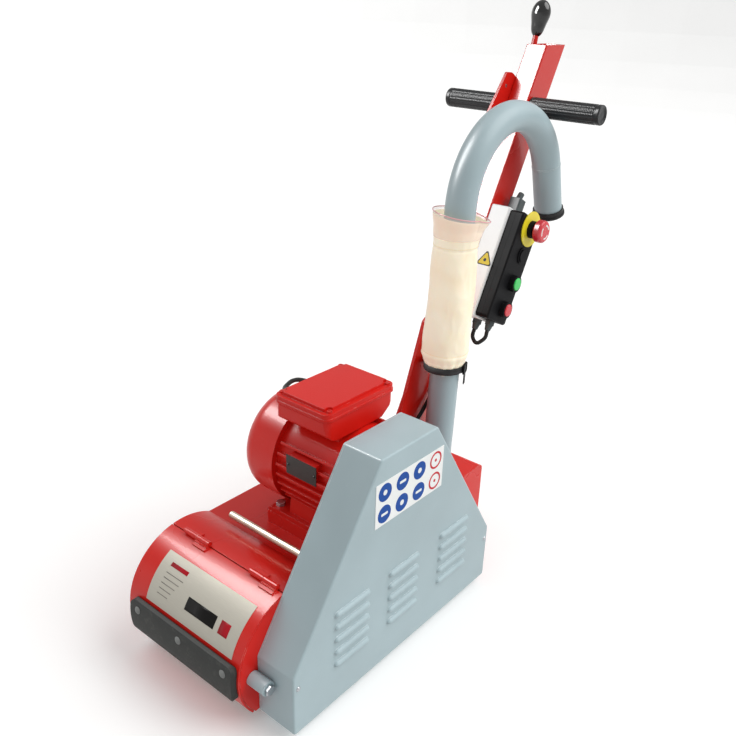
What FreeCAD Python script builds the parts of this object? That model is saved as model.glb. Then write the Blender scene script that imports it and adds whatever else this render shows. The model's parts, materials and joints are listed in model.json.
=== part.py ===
import FreeCAD, Part
import math
import os

# Floor drum sander.  Millimetres, +Z up, +Y towards the operator, +X towards the belt guard.
# The machine is laid out from a datum on the floor: X = 0 is the mast's centre plane and Z = 0 the floor.
# ORIGIN is the middle of the machine's footprint in that datum; every piece is written relative to it.
V = FreeCAD.Vector
X_AXIS = V(1, 0, 0)
ORIGIN = V(16.5, 228, 0)

# Sheet and body
SHEET = 3.0
BODY_LEFT, BODY_RIGHT = -125.0, 118.0
BODY_REAR = 367.0
DECK = 180.0
SKIRT = 20.0
GAP = 0.4

# Drum and hood: the hood is a sheet bent about the drum axis
DRUM_Y, DRUM_Z = -110.0, 87.7
DRUM_R, CORE_R = 87.7, 80.0
DRUM_X0, DRUM_X1 = -104.0, 96.0
DRUM_SHAFT_R = 12.5
HOOD_R = 106.0
HINGE_ANGLE = 99.8
HINGE_BARREL_R, HINGE_PIN_R = 4.5, 2.5
HINGE_AXIS_R = HOOD_R + HINGE_BARREL_R + 0.5
HINGE_STARTS = (-91.0, 52.0)
HINGE_LENGTH = 55.0
FLAP_END_ANGLE = 219.0
BUMPER_THICK = 10.0
BUMPER_SCREWS = (-92.0, 2.0, 97.0)

# Motor: shaft height 90 above its feet
MOTOR_Y, MOTOR_Z = 60.0, 292.0
MOTOR_FOOT_Z = 202.0
STATOR_R, FIN_R = 76.0, 84.0
COWL_R, COWL_END = 87.5, -9.0
TERMINAL_FLOOR = 369.0
TERMINAL_OUTLINE = ((-19, 404), (-16, 380), (-6, 371), (6, TERMINAL_FLOOR), (100, TERMINAL_FLOOR),
                    (118, 382), (127, 393), (128, 404))
MOTOR_SHAFT_R = 12.0

# Belt guard
GUARD_X0, GUARD_X1 = 121.0, 187.0
GUARD_SHEET = 2.0
GUARD_OUTLINE = ((-180, 15), (-180, 117), (-9.6, 379), (117.4, 379), (289, 117), (289, 15))
LOUVRE_ROWS = (85, 107, 129, 151, 173)
LOUVRE_GROUPS = ((-101, -28), (15, 87), (140, 218))

# Dust fan and pipe
FAN_Y, FAN_Z = 235.0, 95.0
FAN_SHAFT_R = 7.5
FAN_X0, FAN_X1 = 35.0, 85.0
PIPE_X, PIPE_R, PIPE_WALL = 60.0, 25.0, 2.0
PIPE_FOOT_Y = 303.0
PIPE_FOOT_Z = 173.0
RISER_LEAN = 2.34
BEND_START_Z, BEND_R = 638.0, 134.0
OUTLET_LEAN = 18.0
OUTLET_LEG = 95.8

# The bag as stored: height and radius, from its gathered lower end up
BAG_SECTIONS = ((368, 30), (378, 37.5), (440, 38), (560, 38), (585, 39), (612, 42))

# Drive pulleys (radius under the belt)
DRUM_PULLEY_R, MOTOR_DRUM_R, MOTOR_FAN_R, FAN_PULLEY_R = 50.0, 40.0, 55.0, 27.0
DRUM_BELT_X, FAN_BELT_X = 140.0, 165.0
BELT_WIDTH, BELT_THICK, BELT_GAP = 14.0, 4.0, 0.4

# Mast: a 40 x 60 tube leaning back; s runs up along it from its top front edge, w runs rearward
MAST_TOP = V(0, 610, 867)
MAST_LEAN = 27.5
MAST_HALF, MAST_DEPTH, MAST_WALL = 20.0, 60.0, 3.0
BAR_S, BAR_W, BAR_R = -101.0, 20.0, 11.0
GRIP_R, GRIP_END = 16.0, 154.0

# Lift linkage
LEVER_X = -11.0
LEVER_S, LEVER_W = -37.2, 17.4
PIVOT_END = MAST_HALF - 1.5
LEVER_LEAN = 15.4
LEVER_THROW = 26.0
CRANK = 28.0
ROD_R, ROD_X = 4.0, -5.5
CARRIAGE_Y, CARRIAGE_Z, CARRIAGE_R = 8.0, 60.0, 8.0
WHEEL_Y, WHEEL_R, WHEEL_CLEAR = 62.0, 45.0, 0.5
CASTER_X, CASTER_Y, CASTER_R, CASTER_TRAIL = -10.0, 318.0, 25.0, 15.0

# Switch gear on the mast
ENCLOSURE_X1 = 57.0
ENCLOSURE_S0, ENCLOSURE_S1, ENCLOSURE_W1 = -480.0, -283.0, 60.0
STATION_S0, STATION_S1, STATION_W0, STATION_W1 = -476.0, -285.0, 5.0, 75.0
STATION_SPLIT, STATION_FACE = 69.0, 83.0
ESTOP_S, PLUG_S, START_S, STOP_S = -304.0, -352.0, -402.0, -450.0
BUTTON_W, ESTOP_W = 48.0, 46.0
BUTTON_R, COLLAR_R = 11.0, 14.5
GLAND_R, LEAD_R = 8.0, 3.5


def box(x0, x1, y0, y1, z0, z1):
    return Part.makeBox(x1 - x0, y1 - y0, z1 - z0, V(x0, y0, z0))


def cyl_x(y, z, r, x0, x1):
    return Part.makeCylinder(r, x1 - x0, V(x0, y, z), X_AXIS)


def ring_x(y, z, outer, inner, x0, x1):
    return cyl_x(y, z, outer, x0, x1).cut(cyl_x(y, z, inner, x0 - 1, x1 + 1))


def union(first, *others):
    return first.fuse(list(others)).removeSplitter()


def slab_x(points, x0, x1):
    """A flat plate with the given (Y, Z) outline, x0 to x1 thick."""
    corners = [V(x0, y, z) for y, z in points]
    wire = Part.makePolygon(corners + corners[:1])
    return Part.Face(wire).extrude(V(x1 - x0, 0, 0))


def polar(radius, degrees, y=DRUM_Y, z=DRUM_Z):
    a = math.radians(degrees)
    return y + radius * math.cos(a), z + radius * math.sin(a)


def arc_sheet(inner, outer, start, end, x0, x1, y=DRUM_Y, z=DRUM_Z):
    """Sheet bent about an X axis, between two angles seen from +X."""
    middle = (start + end) / 2

    def at(radius, degrees):
        return V(x0, *polar(radius, degrees, y, z))

    edges = [
        Part.Arc(at(outer, start), at(outer, middle), at(outer, end)).toShape(),
        Part.makeLine(at(outer, end), at(inner, end)),
        Part.Arc(at(inner, end), at(inner, middle), at(inner, start)).toShape(),
        Part.makeLine(at(inner, start), at(outer, start)),
    ]
    return Part.Face(Part.Wire(edges)).extrude(V(x1 - x0, 0, 0))


def soften(shape, radius, direction=None):
    """Round the shape's straight edges, or only those that run along the direction."""
    edges = []
    for edge in shape.Edges:
        if not isinstance(edge.Curve, Part.Line):
            continue
        if direction is None or edge.Curve.Direction.cross(direction).Length < 1e-6:
            edges.append(edge)
    return shape.makeFillet(radius, edges)


def hexagon_rod(centre, direction, across_flats, length):
    corners = []
    for i in range(7):
        a = math.radians(60 * i)
        r = across_flats / 2 / math.cos(math.pi / 6)
        corners.append(V(r * math.cos(a), r * math.sin(a), 0))
    prism = Part.Face(Part.makePolygon(corners)).extrude(V(0, 0, length))
    prism.Placement = FreeCAD.Placement(centre, FreeCAD.Rotation(V(0, 0, 1), direction))
    return prism


def bolt(centre, direction, r, shank, head):
    """A hex bolt: its head sits on the centre point and its shank goes the other way."""
    thread = Part.makeCylinder(r, shank, centre, direction * -1)
    return thread.fuse(hexagon_rod(centre, direction, 3.4 * r, head))


def on_mast(shape):
    """Place a shape drawn as (X, w, s) onto the leaning mast."""
    placed = shape.copy()
    lean = FreeCAD.Placement(MAST_TOP, FreeCAD.Rotation(X_AXIS, -MAST_LEAN))
    placed.Placement = lean.multiply(shape.Placement)
    return placed


def mast_point(x, w, s):
    return FreeCAD.Placement(MAST_TOP, FreeCAD.Rotation(X_AXIS, -MAST_LEAN)).multVec(V(x, w, s))


def write(node, *solids):
    shape = Part.makeCompound([piece for solid in solids for piece in solid.Solids])
    shape.translate(ORIGIN * -1)
    shape.exportStep("parts/" + node + ".step")


# ---------------------------------------------------------------- chassis and hood

def side_plate(x0, x1):
    corners = (polar(0, 0), polar(120, HINGE_ANGLE - 0.5), (60, DRUM_Z + 120), (60, DRUM_Z))
    behind_hinge = slab_x(corners, x0, x1)
    hood_end = cyl_x(DRUM_Y, DRUM_Z, HOOD_R, x0, x1).common(behind_hinge)
    front = cyl_x(DRUM_Y, DRUM_Z, HOOD_R - SHEET - GAP, x0, x1)
    tail = soften(box(x0, x1, -60, BODY_REAR, SKIRT, DECK), 10, X_AXIS)
    plate = union(front, hood_end, tail, box(x0, x1, DRUM_Y, 0, SKIRT, DECK - 20))
    return plate.cut(box(x0 - 1, x1 + 1, -400, 400, -60, SKIRT))


def lift_rod_hole():
    """The opening that the pull rod needs through the deck."""
    w = crank_pin()[0]
    return on_mast(box(ROD_X - 6.5, ROD_X + 6.5, w - 6.5, w + 6.5, -790, -720))


def chassis():
    inner_left, inner_right = BODY_LEFT + SHEET, BODY_RIGHT - SHEET
    left = side_plate(BODY_LEFT, inner_left)
    right = side_plate(inner_right, BODY_RIGHT)
    hood = arc_sheet(HOOD_R - SHEET, HOOD_R, -39.7, HINGE_ANGLE - 0.5, BODY_LEFT, BODY_RIGHT)
    shell = soften(box(BODY_LEFT, BODY_RIGHT, -200, BODY_REAR, SKIRT - 40, DECK), 10, X_AXIS)
    hollow = box(BODY_LEFT - 1, BODY_RIGHT + 1, -200, BODY_REAR - SHEET, SKIRT - 40, DECK - SHEET)
    hollow = soften(hollow, 7, X_AXIS)
    wrap = shell.cut(hollow)
    wrap = wrap.common(box(BODY_LEFT, BODY_RIGHT, -60, BODY_REAR, SKIRT, DECK))
    caster_plate = box(-62, 34, 276, BODY_REAR - 1, 64, 68)
    caster_webs = [box(x, x + SHEET, 276, BODY_REAR - 1, 68, DECK - 1) for x in (-62, 31)]
    bar_lug = box(96, inner_right + 1, -68, -50, DECK - 4, 210)
    body = union(left, right, hood, wrap, caster_plate, *caster_webs, bar_lug)
    bosses = [
        ring_x(DRUM_Y, DRUM_Z, 30, 23.5, inner_left, -108),
        ring_x(DRUM_Y, DRUM_Z, 30, 23.5, 101, inner_right),
        ring_x(FAN_Y, FAN_Z, 22, 16, 101, inner_right),
        ring_x(CARRIAGE_Y, CARRIAGE_Z, 14, CARRIAGE_R + 0.05, inner_left, -112),
        ring_x(CARRIAGE_Y, CARRIAGE_Z, 14, CARRIAGE_R + 0.05, 105, inner_right),
    ]
    body = union(body, *bosses)
    openings = [
        cyl_x(DRUM_Y, DRUM_Z, 16, inner_right - 1, BODY_RIGHT + 1),
        cyl_x(FAN_Y, FAN_Z, 11, inner_right - 1, BODY_RIGHT + 1),
        cyl_x(-190.5, 86, 4, inner_right - 4, BODY_RIGHT + 1),
        cyl_x(299.5, 86, 4, inner_right - 4, BODY_RIGHT + 1),
        box(7, 33, -20, 10, 102, 148),
        lift_rod_hole(),
        pipe_straight(PIPE_R),
        cyl_x(-59, DECK + 20, 5.5, 90, inner_right),
        Part.makeCylinder(6, 10, V(CASTER_X, CASTER_Y, 61)),
    ]
    openings += [Part.makeCylinder(4, 40, V(x, y, DECK - 20)) for x, y in motor_bolt_places()]
    return body.cut(openings)


def hinge_axis():
    return polar(HINGE_AXIS_R, HINGE_ANGLE)


def hinge_leaf(x0, x1, side):
    """A short tab from the hinge barrel onto the sheet; side is +1 rearward and -1 forward."""
    start, end = HINGE_ANGLE - 1.2 * side, HINGE_ANGLE - 6.5 * side
    return arc_sheet(HOOD_R, HOOD_R + 3, min(start, end), max(start, end), x0, x1)


def hinge_bridge(x0, x1, side):
    y, z = hinge_axis()
    bridge = box(x0, x1, min(y, y + 7 * side), max(y, y + 7 * side), z - HINGE_BARREL_R, z - 1.2)
    return bridge.cut(cyl_x(DRUM_Y, DRUM_Z, HOOD_R, x0 - 1, x1 + 1))


def hood_hinges():
    y, z = hinge_axis()
    pieces = []
    for start in HINGE_STARTS:
        middle = start + HINGE_LENGTH / 2
        barrel = cyl_x(y, z, HINGE_BARREL_R, start, middle - 0.3)
        pin = cyl_x(y, z, HINGE_PIN_R, middle - 1, start + HINGE_LENGTH + 1)
        tab = hinge_leaf(start, middle - 0.3, 1)
        bridge = hinge_bridge(start, middle - 0.3, 1)
        pieces.append(union(barrel, pin, tab, bridge))
    return pieces


def hood_flap():
    y, z = hinge_axis()
    sheet = arc_sheet(HOOD_R - SHEET, HOOD_R, HINGE_ANGLE + 0.5, FLAP_END_ANGLE, BODY_LEFT, BODY_RIGHT)
    for start in HINGE_STARTS:
        middle, end = start + HINGE_LENGTH / 2, start + HINGE_LENGTH
        knuckle = union(cyl_x(y, z, HINGE_BARREL_R, middle + 0.3, end), hinge_bridge(middle + 0.3, end, -1),
                        hinge_leaf(middle + 0.3, end, -1))
        knuckle = knuckle.cut(cyl_x(y, z, HINGE_PIN_R + 0.05, middle - 5, end + 5))
        sheet = union(sheet, knuckle)
    return sheet.cut([bumper_hole(x) for x in BUMPER_SCREWS])


def bumper_hole(x):
    y, z = polar(HOOD_R - 10, 172)
    direction = V(0, *polar(1, 172, 0, 0))
    return Part.makeCylinder(3, BUMPER_THICK + 20, V(x, y, z), direction)


def hood_plate():
    return arc_sheet(HOOD_R, HOOD_R + 0.8, 118.8, 161.5, -87, 101)


def bumper():
    strip = arc_sheet(HOOD_R, HOOD_R + BUMPER_THICK, 164, 194, -110, 115)
    strip = soften(strip, 4, X_AXIS)
    ends = soften(box(-110, 115, -260, -200, 58, 118), 12, V(0, 1, 0))
    return strip.common(ends).cut([bumper_hole(x) for x in BUMPER_SCREWS])


def bumper_screws():
    screws = []
    direction = V(0, *polar(1, 172, 0, 0))
    for x in BUMPER_SCREWS:
        shank = Part.makeCylinder(3, BUMPER_THICK + 6, V(x, *polar(HOOD_R - 6, 172)), direction)
        dome = Part.makeSphere(9, V(x, *polar(HOOD_R + BUMPER_THICK - 6.5, 172)))
        cap = Part.makeCylinder(6, 4, V(x, *polar(HOOD_R + BUMPER_THICK, 172)), direction)
        screws.append(union(shank, dome.common(cap)))
    return screws


# ---------------------------------------------------------------- drum

def drum_core():
    drum = ring_x(DRUM_Y, DRUM_Z, CORE_R, CORE_R - 10, DRUM_X0, DRUM_X1)
    webs = [cyl_x(DRUM_Y, DRUM_Z, CORE_R - 5, x, x + 8) for x in (DRUM_X0 + 4, DRUM_X1 - 12)]
    shaft = cyl_x(DRUM_Y, DRUM_Z, DRUM_SHAFT_R, -119, 152)
    return union(drum, shaft, *webs)


def drum_sleeve():
    return ring_x(DRUM_Y, DRUM_Z, DRUM_R, CORE_R, DRUM_X0, DRUM_X1)


def pulley(y, z, radius, bore, x, hub):
    """A flat-belt pulley with two low flanges, centred on x."""
    half = BELT_WIDTH / 2 + 1.0
    wheel = cyl_x(y, z, radius, x - half, x + half)
    rims = [cyl_x(y, z, radius + 3, x + d, x + d + 2) for d in (-half - 2, half)]
    body = union(wheel, *rims)
    if radius > 30:
        recess = ring_x(y, z, radius - 6, hub, x + 2, x + half + 3)
        body = body.cut(recess)
    return body.cut(cyl_x(y, z, bore, x - 40, x + 40))


def belt(y1, z1, r1, y2, z2, r2, x):
    """A flat belt loop standing just clear of its two pulleys."""
    def loop(a, b, x0, x1):
        length = math.hypot(y2 - y1, z2 - z1)
        along = math.atan2(z2 - z1, y2 - y1)
        tilt = math.acos((a - b) / length)
        first, second = cyl_x(y1, z1, a, x0, x1), cyl_x(y2, z2, b, x0, x1)
        corners = []
        for sign, (cy, cz, r) in ((1, (y1, z1, a)), (1, (y2, z2, b)), (-1, (y2, z2, b)), (-1, (y1, z1, a))):
            angle = along + sign * tilt
            corners.append((cy + r * math.cos(angle), cz + r * math.sin(angle)))
        return union(first, second, slab_x(corners, x0, x1))
    near, far = x - BELT_WIDTH / 2, x + BELT_WIDTH / 2
    outer = loop(r1 + BELT_GAP + BELT_THICK, r2 + BELT_GAP + BELT_THICK, near, far)
    inner = loop(r1 + BELT_GAP, r2 + BELT_GAP, near - 1, far + 1)
    return outer.cut(inner)


def shaft_bearings():
    return [
        ring_x(DRUM_Y, DRUM_Z, 23.5, DRUM_SHAFT_R + 0.05, BODY_LEFT + SHEET, -108),
        ring_x(DRUM_Y, DRUM_Z, 23.5, DRUM_SHAFT_R + 0.05, 101, BODY_RIGHT - SHEET),
        ring_x(FAN_Y, FAN_Z, 16, FAN_SHAFT_R + 0.05, 101, BODY_RIGHT - SHEET),
        ring_x(MOTOR_Y, MOTOR_Z, 26, MOTOR_SHAFT_R + 0.05, -15, -2),
        ring_x(MOTOR_Y, MOTOR_Z, 26, MOTOR_SHAFT_R + 0.05, 103, 116),
    ]


# ---------------------------------------------------------------- motor

def motor_bolt_places():
    return [(x, y) for x in (-20, 84) for y in (MOTOR_Y - 60, MOTOR_Y + 60)]


def motor_base():
    plate = soften(box(-39, 114, -14, 134, DECK, MOTOR_FOOT_Z), 5, V(0, 0, 1))
    hollow = box(-36, 111, -11, 131, DECK - 1, MOTOR_FOOT_Z - 4)
    posts = [Part.makeCylinder(9, MOTOR_FOOT_Z - DECK, V(x, y, DECK)) for x, y in motor_bolt_places()]
    base = union(plate.cut(hollow), *posts)
    return base.cut([Part.makeCylinder(4, 60, V(x, y, DECK - 20)) for x, y in motor_bolt_places()])


def motor_fasteners():
    return [bolt(V(x, y, MOTOR_FOOT_Z + 9), V(0, 0, 1), 4, 38, 5.5) for x, y in motor_bolt_places()]


def motor_stator():
    barrel = cyl_x(MOTOR_Y, MOTOR_Z, STATOR_R, -6, 106)
    fins = []
    for angle in [150 + 11.5 * i for i in range(7)] + [64.5 - 11.5 * i for i in range(10)] + [255, 270, 285]:
        fin = box(-4, 104, MOTOR_Y, MOTOR_Y + FIN_R, MOTOR_Z - 1.8, MOTOR_Z + 1.8)
        fin.rotate(V(0, MOTOR_Y, MOTOR_Z), X_AXIS, angle)
        fins.append(fin)
    feet = []
    for side in (-1, 1):
        y = MOTOR_Y + 60 * side
        foot = soften(box(-30, 96, y - 14, y + 14, MOTOR_FOOT_Z, MOTOR_FOOT_Z + 9), 5, V(0, 0, 1))
        web = slab_x(((y - 5 * side, MOTOR_FOOT_Z + 4), (y + 5 * side, MOTOR_FOOT_Z + 4),
                      (MOTOR_Y + 58 * side, MOTOR_Z - 30), (MOTOR_Y + 40 * side, MOTOR_Z - 30)), 4, 66)
        feet += [foot, web]
    neck = box(8, 84, 18, 98, MOTOR_Z + 40, TERMINAL_FLOOR)
    pad = box(22, 76, MOTOR_Y - 83, MOTOR_Y - 60, MOTOR_Z + 4, MOTOR_Z + 36)
    body = union(barrel, neck, pad, *(fins + feet))
    bore = cyl_x(MOTOR_Y, MOTOR_Z, 66, -7, 107)
    wire_way = box(38, 60, 45, 75, MOTOR_Z, 380)
    bolts = [Part.makeCylinder(4, 60, V(x, y, DECK)) for x, y in motor_bolt_places()]
    plate_seat = box(19, 79, MOTOR_Y - 90, MOTOR_Y - 83, MOTOR_Z, MOTOR_Z + 40)
    return body.cut([bore, wire_way, plate_seat] + bolts)


def stator_core():
    core = ring_x(MOTOR_Y, MOTOR_Z, 66, 40.5, 12, 88)
    ends = [ring_x(MOTOR_Y, MOTOR_Z, 62, 44, x, x + 14) for x in (-2, 88)]
    return union(core, *ends)


def motor_end_shields():
    shields = []
    for x0, x1, hub0, hub1 in ((-14, -6, -15, -2), (106, 116, 103, 116)):
        disc = cyl_x(MOTOR_Y, MOTOR_Z, STATOR_R, x0, x1)
        hub = cyl_x(MOTOR_Y, MOTOR_Z, 31, hub0, hub1)
        shields.append(union(disc, hub).cut(cyl_x(MOTOR_Y, MOTOR_Z, 26, hub0 - 1, hub1 + 1)))
    return shields


def motor_fan_cowl():
    """A deep-drawn cover with a rounded shoulder and a grille of round holes in its end."""
    def profile(inset):
        r, end, corner = COWL_R - inset, -80 + inset, 26 - inset
        bend = V(end + corner * (1 - math.cos(math.pi / 4)), 0, r - corner * (1 - math.cos(math.pi / 4)))
        edges = [
            Part.makeLine(V(COWL_END, 0, 0), V(COWL_END, 0, r)),
            Part.makeLine(V(COWL_END, 0, r), V(end + corner, 0, r)),
            Part.Arc(V(end + corner, 0, r), bend, V(end, 0, r - corner)).toShape(),
            Part.makeLine(V(end, 0, r - corner), V(end, 0, 0)),
            Part.makeLine(V(end, 0, 0), V(COWL_END, 0, 0)),
        ]
        solid = Part.Face(Part.Wire(edges)).revolve(V(0, 0, 0), X_AXIS, 360)
        solid.translate(V(0, MOTOR_Y, MOTOR_Z))
        return solid
    mouth = cyl_x(MOTOR_Y, MOTOR_Z, COWL_R - 1.6, COWL_END - 1, COWL_END + 1)
    cowl = profile(0).cut([profile(1.6), mouth])
    rim = ring_x(MOTOR_Y, MOTOR_Z, COWL_R - 1, STATOR_R, COWL_END - 5, COWL_END - 2.5)
    holes = []
    for radius, count in ((12, 6), (24, 12), (36, 18), (48, 24)):
        for i in range(count):
            y, z = polar(radius, 360 * i / count, MOTOR_Y, MOTOR_Z)
            holes.append(cyl_x(y, z, 3.6, -90, -70))
    return union(cowl, rim).cut(holes)


def motor_rotor():
    shaft = cyl_x(MOTOR_Y, MOTOR_Z, MOTOR_SHAFT_R, -50, 178)
    return union(shaft, cyl_x(MOTOR_Y, MOTOR_Z, 40, 14, 86))


def motor_fan():
    hub = ring_x(MOTOR_Y, MOTOR_Z, 24, MOTOR_SHAFT_R, -46, -22)
    disc = ring_x(MOTOR_Y, MOTOR_Z, 74, MOTOR_SHAFT_R, -26, -22)
    blades = []
    for i in range(7):
        blade = box(-46, -24, MOTOR_Y + 20, MOTOR_Y + 74, MOTOR_Z - 1.5, MOTOR_Z + 1.5)
        blade.rotate(V(0, MOTOR_Y, MOTOR_Z), X_AXIS, 360 * i / 7)
        blades.append(blade)
    return union(hub, disc, *blades)


def motor_pulley():
    near = pulley(MOTOR_Y, MOTOR_Z, MOTOR_DRUM_R, MOTOR_SHAFT_R, DRUM_BELT_X, 22)
    far = pulley(MOTOR_Y, MOTOR_Z, MOTOR_FAN_R, MOTOR_SHAFT_R, FAN_BELT_X, 22)
    joint = ring_x(MOTOR_Y, MOTOR_Z, 22, MOTOR_SHAFT_R, DRUM_BELT_X, FAN_BELT_X)
    return union(near, far, joint)


def motor_nameplate():
    plate = box(19, 79, MOTOR_Y - 84, MOTOR_Y - 83, MOTOR_Z + 5, MOTOR_Z + 36)
    rivets = []
    for x in (23, 75):
        rivets.append(Part.makeSphere(2, V(x, MOTOR_Y - 84, MOTOR_Z + 20.5)))
    return union(plate, *rivets).cut(box(0, 90, MOTOR_Y - 83, MOTOR_Y, MOTOR_Z, MOTOR_Z + 40))


def lid_screw_places():
    return [(x, y) for x in (-3, 90) for y in (-8, 117)]


def lid_screws():
    """The painted-over slotted screws that stay in the lid."""
    pieces = []
    for x, y in lid_screw_places():
        head = Part.makeCylinder(4, 3, V(x, y, 415))
        slot = box(x - 4, x + 4, y - 0.6, y + 0.6, 416.6, 419)
        pieces.append(union(head.cut(slot), Part.makeCylinder(2, 14, V(x, y, 401))))
    return pieces


def terminal_box():
    body = soften(slab_x(TERMINAL_OUTLINE, -8, 95), 4, X_AXIS)
    corner = soften(box(-8, 95, -19, 128, 350, 404), 12, V(0, 0, 1))
    body = body.common(corner)
    hollow = soften(box(-5, 92, -14, 122, 386, 405), 10, V(0, 0, 1))
    hollow = union(hollow, soften(box(-3, 90, 0, 100, TERMINAL_FLOOR + 3, 387), 8, V(0, 0, 1)))
    body = body.cut(hollow)
    posts = [Part.makeCylinder(5, 20, V(x, y, 384)).common(corner) for x, y in lid_screw_places()]
    body = union(body, *posts)
    tools = [Part.makeCylinder(2, 30, V(x, y, 401)) for x, y in lid_screw_places()]
    tools.append(box(38, 60, 45, 75, 360, 380))
    tools.append(cyl_x(30, 392, 8, -12, -4))
    return body.cut(tools)


def terminal_box_lid():
    rim = soften(box(-10, 97, -21, 130, 404, 408), 12, V(0, 0, 1))
    flange = soften(box(-9, 96, -20, 129, 408, 415), 11, V(0, 0, 1))
    crown = soften(box(-2, 89, -13, 122, 415, 420), 8, V(0, 0, 1))
    crown = crown.cut([Part.makeCylinder(7, 6, V(x, y, 415)) for x, y in lid_screw_places()])
    lid = union(rim, flange, crown)
    pocket = soften(box(-5, 92, -14, 122, 403, 412), 8, V(0, 0, 1))
    posts = [Part.makeCylinder(6, 12, V(x, y, 404)) for x, y in lid_screw_places()]
    lid = union(lid.cut(pocket), *[post.common(flange.fuse(rim)) for post in posts])
    return lid.cut([Part.makeCylinder(2, 20, V(x, y, 401)) for x, y in lid_screw_places()])


def run_capacitor():
    can = Part.makeCylinder(14, 80, V(2, 20, 389.5), X_AXIS)
    return can.fuse(Part.makeCylinder(3, 86, V(-1, 20, 389.5), X_AXIS))


# ---------------------------------------------------------------- belt guard

def guard_slab(inset, x0, x1):
    outline = slab_x(GUARD_OUTLINE, x0, x1)
    if inset == 0:
        return soften(outline, 5, X_AXIS)
    face = Part.Face(Part.makePolygon([V(x0, y, z) for y, z in GUARD_OUTLINE + GUARD_OUTLINE[:1]]))
    inner = face.makeOffset2D(-inset)
    return soften(Part.Face(inner.OuterWire).extrude(V(x1 - x0, 0, 0)), 4, X_AXIS)


def louvre(y0, y1, z, radius):
    """Half of a rounded pill lying along Y: the pressed hood of one louvre."""
    x = GUARD_X1 - 0.6
    pill = Part.makeCylinder(radius, y1 - y0, V(x, y0, z), V(0, 1, 0))
    pill = union(pill, Part.makeSphere(radius, V(x, y0, z)), Part.makeSphere(radius, V(x, y1, z)))
    return pill


def belt_guard():
    shell = guard_slab(0, GUARD_X0, GUARD_X1)
    outer_edge = [e for e in shell.Edges if abs(e.CenterOfMass.x - GUARD_X1) < 0.01]
    shell = shell.makeFillet(3, outer_edge)
    shell = shell.cut(guard_slab(GUARD_SHEET, GUARD_X0 - 1, GUARD_X1 - GUARD_SHEET))
    tubes = [cyl_x(y, 86, 11, BODY_RIGHT + 0.5, 150) for y in (-190.5, 299.5)]
    shell = union(shell, *tubes)
    shell = shell.cut([cyl_x(y, 86, 4, 110, 160) for y in (-190.5, 299.5)])
    shell = shell.cut([guard_slab(GUARD_SHEET, GUARD_X0, 180), guard_slab(0, BODY_RIGHT, GUARD_X0)])
    shell = shell.cut([cyl_x(y, 96, 2, 180, 190) for y in (-171, 280)])
    hoods, slots = [], []
    for y0, y1 in LOUVRE_GROUPS:
        for z in LOUVRE_ROWS:
            upper = box(170, 200, y0 - 10, y1 + 10, z, z + 10)
            hoods.append(louvre(y0 + 6, y1 - 6, z, 6).common(upper))
            lower = box(170, 187, y0, y1, z - 0.5, z + 4)
            slots.append(louvre(y0 + 6, y1 - 6, z, 4.6).common(upper.fuse(lower)))
    return union(shell, *hoods).cut(slots)


def guard_backplate():
    plate = guard_slab(0, BODY_RIGHT, GUARD_X0)
    holes = [
        cyl_x(DRUM_Y, DRUM_Z, 16, 110, 130),
        cyl_x(FAN_Y, FAN_Z, 11, 110, 130),
        cyl_x(MOTOR_Y, MOTOR_Z, 30, 110, 130),
    ]
    return plate.cut(holes)


def frame_fasteners():
    pieces = []
    for y in (-190.5, 299.5):
        pieces.append(bolt(V(150, y, 86), X_AXIS, 4, 38, 5.5))
    for y in (-171, 280):
        shank = cyl_x(y, 96, 2, 180, GUARD_X1)
        head = Part.makeSphere(4.5, V(GUARD_X1 - 2, y, 96)).common(cyl_x(y, 96, 4, GUARD_X1, GUARD_X1 + 4))
        pieces.append(union(shank, head))
    pivot_head = hexagon_rod(V(-MAST_HALF - 5, 0, 0), X_AXIS, 13, 5)
    pivot = union(cyl_x(0, 0, 4, -MAST_HALF - 4, PIVOT_END), pivot_head)
    pivot.translate(V(0, LEVER_W, LEVER_S))
    pieces.append(on_mast(pivot))
    ear = union(cyl_x(0, 0, 3, -30, -20), hexagon_rod(V(-30, 0, 0), X_AXIS, 12, 5))
    ear.translate(V(0, -18, -84))
    pieces.append(on_mast(ear))
    return pieces


def guard_label():
    return box(GUARD_X1, GUARD_X1 + 0.6, -21, 134, 273, 343)


# ---------------------------------------------------------------- dust fan, duct and pipe

def fan_housing():
    y = FAN_Y + 12
    outer = union(cyl_x(y, FAN_Z, 76, FAN_X0, FAN_X1), box(FAN_X0, FAN_X1, 275, 329, FAN_Z, PIPE_FOOT_Z))
    inner = union(cyl_x(y, FAN_Z, 73, FAN_X0 + 3, FAN_X1 - 3),
                  box(FAN_X0 + 3, FAN_X1 - 3, 278, 326, FAN_Z, PIPE_FOOT_Z - 3))
    outlet = pipe_straight(PIPE_R - PIPE_WALL)
    eye = cyl_x(FAN_Y, FAN_Z, 32, FAN_X0 - 1, FAN_X0 + 4)
    shaft = cyl_x(FAN_Y, FAN_Z, FAN_SHAFT_R + 0.5, FAN_X1 - 4, FAN_X1 + 1)
    return outer.cut([inner, outlet, eye, shaft])


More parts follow.
